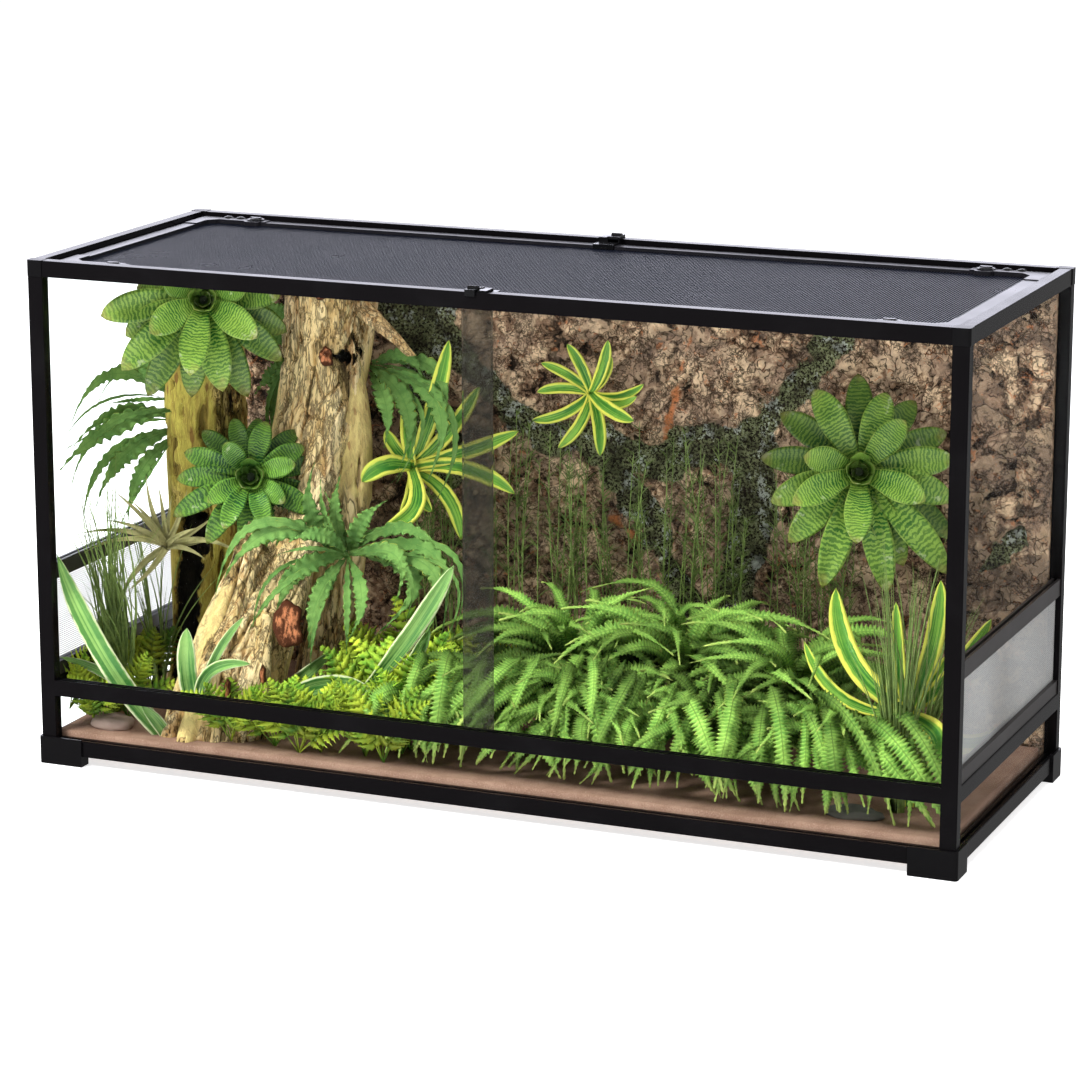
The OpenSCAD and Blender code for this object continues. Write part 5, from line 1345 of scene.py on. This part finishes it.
def makeSwordFerns(settings, part, name, stands):
    # fronds leave each crown by golden turns: the first ones low and long, the last ones steep and short
    rows = []
    for (x, y), height, count, size, first in settings[part]:
        for number in range(settings["sets"]):
            # later sets are turned on, shorter, and rise more or less than the first
            i = np.arange(count)
            k = i / (count - 1.0)
            rise = 14 + 66 * k + (30 * (number * 0.618 % 1) - 8) * (number > 0)
            rows.append(np.stack([0 * k + x, 0 * k + y, 0 * k + height, size * (1 - 0.04 * number) * (1 - 0.25 * k),
                                  first + 52 * number + i * settings["golden"], rise,
                                  78 + 26 * k + 12 * (number * 0.382 % 1), 0 * k + number], 1))
    x, y, height, size, turn, rise, droop, number = np.concatenate(rows).T
    count = np.arange(len(x))
    roll = [hashed(count, count * 3, count * 0 + m, 91) for m in range(4)]
    turn = np.radians(turn + 14 * (roll[0] - 0.5))
    out = np.stack([np.cos(turn), np.where(np.sin(turn) < 0, 0.88, settings["flatten"]) * np.sin(turn), 0 * turn], 1)
    base = np.stack([x, y, settings["sand"] + height * (1 - 0.3 * (number > 0) * roll[1])], 1)
    place = []
    for t in (0.0, 0.5, 1.0):
        away, up = arcPlace(size, rise, droop, t)
        place.append(base + out * (away + settings["crownReach"])[:, None] + np.array([0, 0, 1.0]) * up[:, None])
    roots, mid, tips = place
    tips = np.clip(tips, (-0.172, -0.190, 0.046), (0.535, 0.16, 0.3))
    bows = mid - (roots + tips) / 2
    bows += unit(np.cross(tips - roots, np.array([0, 0, 1.0]))) * ((roll[2] - 0.5) * 0.07)[:, None]
    facing = unit(np.array([0, 0, 0.5]) + toEye * 0.8 + 0.2 * out)
    # fronds at the front or top of the mound get a lighter tone and the inner ones a darker one: painted light and
    # painted shade
    litOutside = np.maximum(ramp(-tips[:, 1], 0.05, 0.15), ramp(mid[:, 2], 0.15, 0.2))
    tone = 0.42 + 0.58 * litOutside + 0.6 * (roll[3] - 0.5)
    parts = [leafField(roots, tips, bows, facing, settings["width"] * (0.7 + 0.5 * roll[1]),
                       lambda s: combOutline(s, settings["teeth"], settings["notch"]), np.maximum(tone, 0.12),
                       steps=3 * settings["teeth"] + 1, across=3, fold=0.22, ripple=0.05, ripples=5, body=0.0008,
                       paintedRootShade=0.55)]
    if part == "front":
        parts.append(hangingFronds(settings))
    points, faces, uv, values = joined(parts)
    newPiece(name, points, faces, leaves["swordFernLeaf"], uv, values, stands=stands)


def hangingFronds(settings):
    # blunt fronds that hang from the front of the mound to the sand, more of them longer towards its right end
    n = settings["fringe"]
    k = np.arange(n)
    roll = [hashed(k, k * 3, k * 0 + m, 17) for m in range(6)]
    along = -0.13 + 0.62 * (k + 0.8 * roll[0]) / n
    longer = ramp(along, 0.08, 0.24) + 0.6 * ramp(along, 0.06, -0.1)
    roots = np.stack([along, -0.08 - 0.035 * roll[1], 0.085 + 0.1 * roll[2]], 1)
    tips = np.stack([along + 0.28 * (along - 0.15) + 0.16 * (roll[3] - 0.5),
                     -0.170 - 0.012 * roll[4] - 0.02 * longer * roll[2],
                     0.045 + 0.06 * roll[4] ** 2 * (1 - 0.6 * longer)], 1)
    bows = np.stack([0.03 * (roll[2] - 0.5), -0.008 - 0.016 * roll[1], 0.008 + 0.03 * roll[3]], 1)
    facing = unit(toEye + np.stack([1.3 * (roll[5] - 0.5), -0.2 + 0 * along, 0.9 * roll[4]], 1))
    return leafField(roots, tips, bows, facing, settings["width"] * (0.65 + 0.5 * roll[1]),
                     lambda s: combOutline(s, settings["teeth"], settings["notch"], 0.66), 0.6 + 0.75 * roll[0],
                     steps=3 * settings["teeth"] + 1, across=3, fold=0.22, ripple=0.05, ripples=5, body=0.0008,
                     paintedRootShade=0.6)


makeSwordFerns(swordSettings, "back", "sword_fern_high", ("fern_mound",))
makeSwordFerns(swordSettings, "front", "sword_fern_low", ())

tuftSettings = {
    # each tuft: (u, v, y) of its crown, frond length in metres, tone
    "tufts": [((96, 742, -0.170), 0.085, 0.8), ((70, 718, -0.12), 0.10, 1.0), ((128, 722, -0.13), 0.095, 0.72),
              ((232, 790, -0.172), 0.095, 0.8), ((276, 792, -0.168), 0.095, 1.05), ((322, 800, -0.168), 0.095, 0.7),
              ((366, 806, -0.165), 0.095, 0.95), ((372, 752, -0.10), 0.14, 1.15), ((412, 748, -0.08), 0.15, 1.2),
              ((446, 742, -0.05), 0.14, 1.0), ((410, 770, -0.12), 0.11, 1.05), ((402, 792, -0.14), 0.10, 0.75),
              ((300, 806, -0.182), 0.10, 0.95), ((384, 818, -0.180), 0.11, 0.85), ((430, 716, 0.03), 0.16, 0.9),
              ((392, 708, 0.03), 0.14, 0.55), ((462, 704, 0.03), 0.13, 0.6), ((150, 700, -0.02), 0.10, 0.5)],
    "fronds": 8, "pairs": 9,
}


def makeTufts(settings):
    n = settings["fronds"]
    crowns = np.array([t[0] for t in settings["tufts"]])
    spots = seenAt(crowns[:, 0], crowns[:, 1], crowns[:, 2])
    spots[:, 2] = 0.04
    who = np.repeat(np.arange(len(spots)), n)
    k = np.tile(np.arange(n), len(spots))
    size = np.array([t[1] for t in settings["tufts"]])[who]
    roll = [hashed(who, k, k * 0 + m, 55) for m in range(4)]
    turn = 2 * pi * (k * 0.381966 + 0.1 * who)
    lean = 0.35 + 0.6 * roll[0]
    roots = spots[who]
    tips = roots + np.stack([size * lean * np.cos(turn), 0.6 * size * lean * np.sin(turn),
                             size * (1.05 - 0.75 * lean * lean)], 1)
    tips = np.clip(tips, (-0.572, -0.2, 0.045), (0.57, 0.17, 0.3))
    bows = np.stack([0 * size, 0 * size, size * 0.16], 1)
    facing = unit(np.array([0, 0, 0.8]) + toEye + 0 * roots)
    tone = np.array([t[2] for t in settings["tufts"]])[who] * (0.6 + 0.6 * roll[1])
    parts = frondField(roots, tips, bows, facing, size * 0.26, settings["pairs"], size * 0.12, tone, droop=0.1,
                       slant=0.6,
                       first=0.2, outline=lambda s: toothedOutline(s, 4, 0.75), steps=10, taper=0.85)
    points, faces, uv, values = joined(parts)
    newPiece("ground_fern_fronds", insideGlass(points, insideSettings), faces, leaves["groundFernLeaf"], uv, values,
             stands=("ground_ferns",))


makeTufts(tuftSettings)
print("ferns made")

# grasses and thin stems

grassSettings = {
    # each clump: (u, v, y) of its foot, spread in metres, height in metres, blades, lean towards +x
    "clumps": [((120, 706, -0.10), 0.15, 0.32, 66, -0.42), ((160, 690, -0.02), 0.10, 0.26, 20, -0.1),
               ((897, 806, -0.125), 0.055, 0.33, 60, -0.01), ((915, 792, -0.09), 0.09, 0.30, 34, 0.06)],
    "stems": [(430, 0.13), (470, 0.15), (540, 0.15), (575, 0.16), (610, 0.15), (650, 0.16), (690, 0.15), (735, 0.16),
              (790, 0.15), (820, 0.16), (236, 0.12)],
    "stemHeight": 0.37, "twigs": 26,
}


def makeGrasses(settings):
    parts = []
    for number, (foot, spread, height, blades, lean) in enumerate(settings["clumps"]):
        k = np.arange(blades)
        roll = [hashed(k, k * 0 + number, k * 0 + m, 12) for m in range(5)]
        base = seenAt(*foot)
        base[2] = 0.04
        turn = 2 * pi * roll[0]
        roots = base + np.stack([0.007 * np.cos(turn), 0.005 * np.sin(turn), 0 * turn], 1)
        tall = height * (0.55 + 0.5 * roll[1])
        out = spread * (0.25 + roll[2])
        tips = roots + np.stack([out * np.cos(turn) + lean * tall, 0.6 * out * np.sin(turn), tall], 1)
        tips = np.clip(tips, (-0.576, -0.2, 0.05), (0.574, 0.17, 0.6))
        bows = -np.stack([np.cos(turn), np.sin(turn), 0 * turn], 1) * (out * 0.22)[:, None]
        parts.append(leafField(roots, tips, bows, np.repeat(toEye[None], blades, 0), 0.0022 + 0.002 * roll[3],
                               bladeOutline,
                               0.7 + 0.6 * roll[4], steps=12, across=3, fold=0.4, body=0.0009))
    at = np.array(settings["stems"], float)
    per = 9
    who = np.repeat(np.arange(len(at)), per)
    k = np.tile(np.arange(per), len(at))
    roll = [hashed(who, k, k * 0 + m, 71) for m in range(6)]
    base = seenAt(at[who, 0] + 62 * (roll[0] - 0.5), np.full(len(who), 640.0), at[who, 1])
    roots = np.stack([np.clip(base[:, 0], -0.55, 0.55), base[:, 1], np.full(len(who), 0.04)], 1)
    tall = settings["stemHeight"] * (0.7 + 0.35 * roll[1])
    tips = roots + np.stack([(roll[2] - 0.5) * 0.06, -0.02 * roll[3], tall], 1)
    bows = np.stack([(roll[4] - 0.5) * 0.02, -0.008 * roll[5], 0 * tall], 1)
    parts.append(leafField(roots, tips, bows, np.repeat(toEye[None], len(who), 0), np.full(len(who), 0.0019),
                           lambda s: 1 - 0.6 * s, 0.85 + 0.6 * roll[3], steps=10, across=3, fold=0.5, body=0.0016))
    n = settings["twigs"]
    stem = np.repeat(np.arange(len(who)), n)
    j = np.tile(np.arange(n), len(who))
    roll = [hashed(stem, j, j * 0 + m, 29) for m in range(5)]
    s = (0.42 + 0.58 * roll[0])[:, None]
    ctrl = (roots + tips) / 2 + 2 * bows
    foot = (1 - s) ** 2 * roots[stem] + 2 * s * (1 - s) * ctrl[stem] + s ** 2 * tips[stem]
    turn = 2 * pi * roll[1]
    reach = 0.012 + 0.03 * roll[2] * (1.2 - s[:, 0])
    aim = unit(np.stack([np.cos(turn), 0.5 * np.sin(turn), 0.35 + 0.9 * roll[3]], 1))
    parts.append(leafField(foot, foot + aim * reach[:, None], np.stack([0 * turn, 0 * turn, reach * 0.08], 1),
                           np.repeat(toEye[None], len(stem), 0), 0.0009 + 0.0006 * roll[4], bladeOutline,
                           0.5 + 0.45 * roll[3], steps=4, across=3, fold=0.3, body=0.0006))
    points, faces, uv, values = joined(parts)
    newPiece("grass_and_stems", insideGlass(points, insideSettings), faces, leaves["grassLeaf"], uv, values,
             stands=("grasses",))


makeGrasses(grassSettings)
print("grasses made")

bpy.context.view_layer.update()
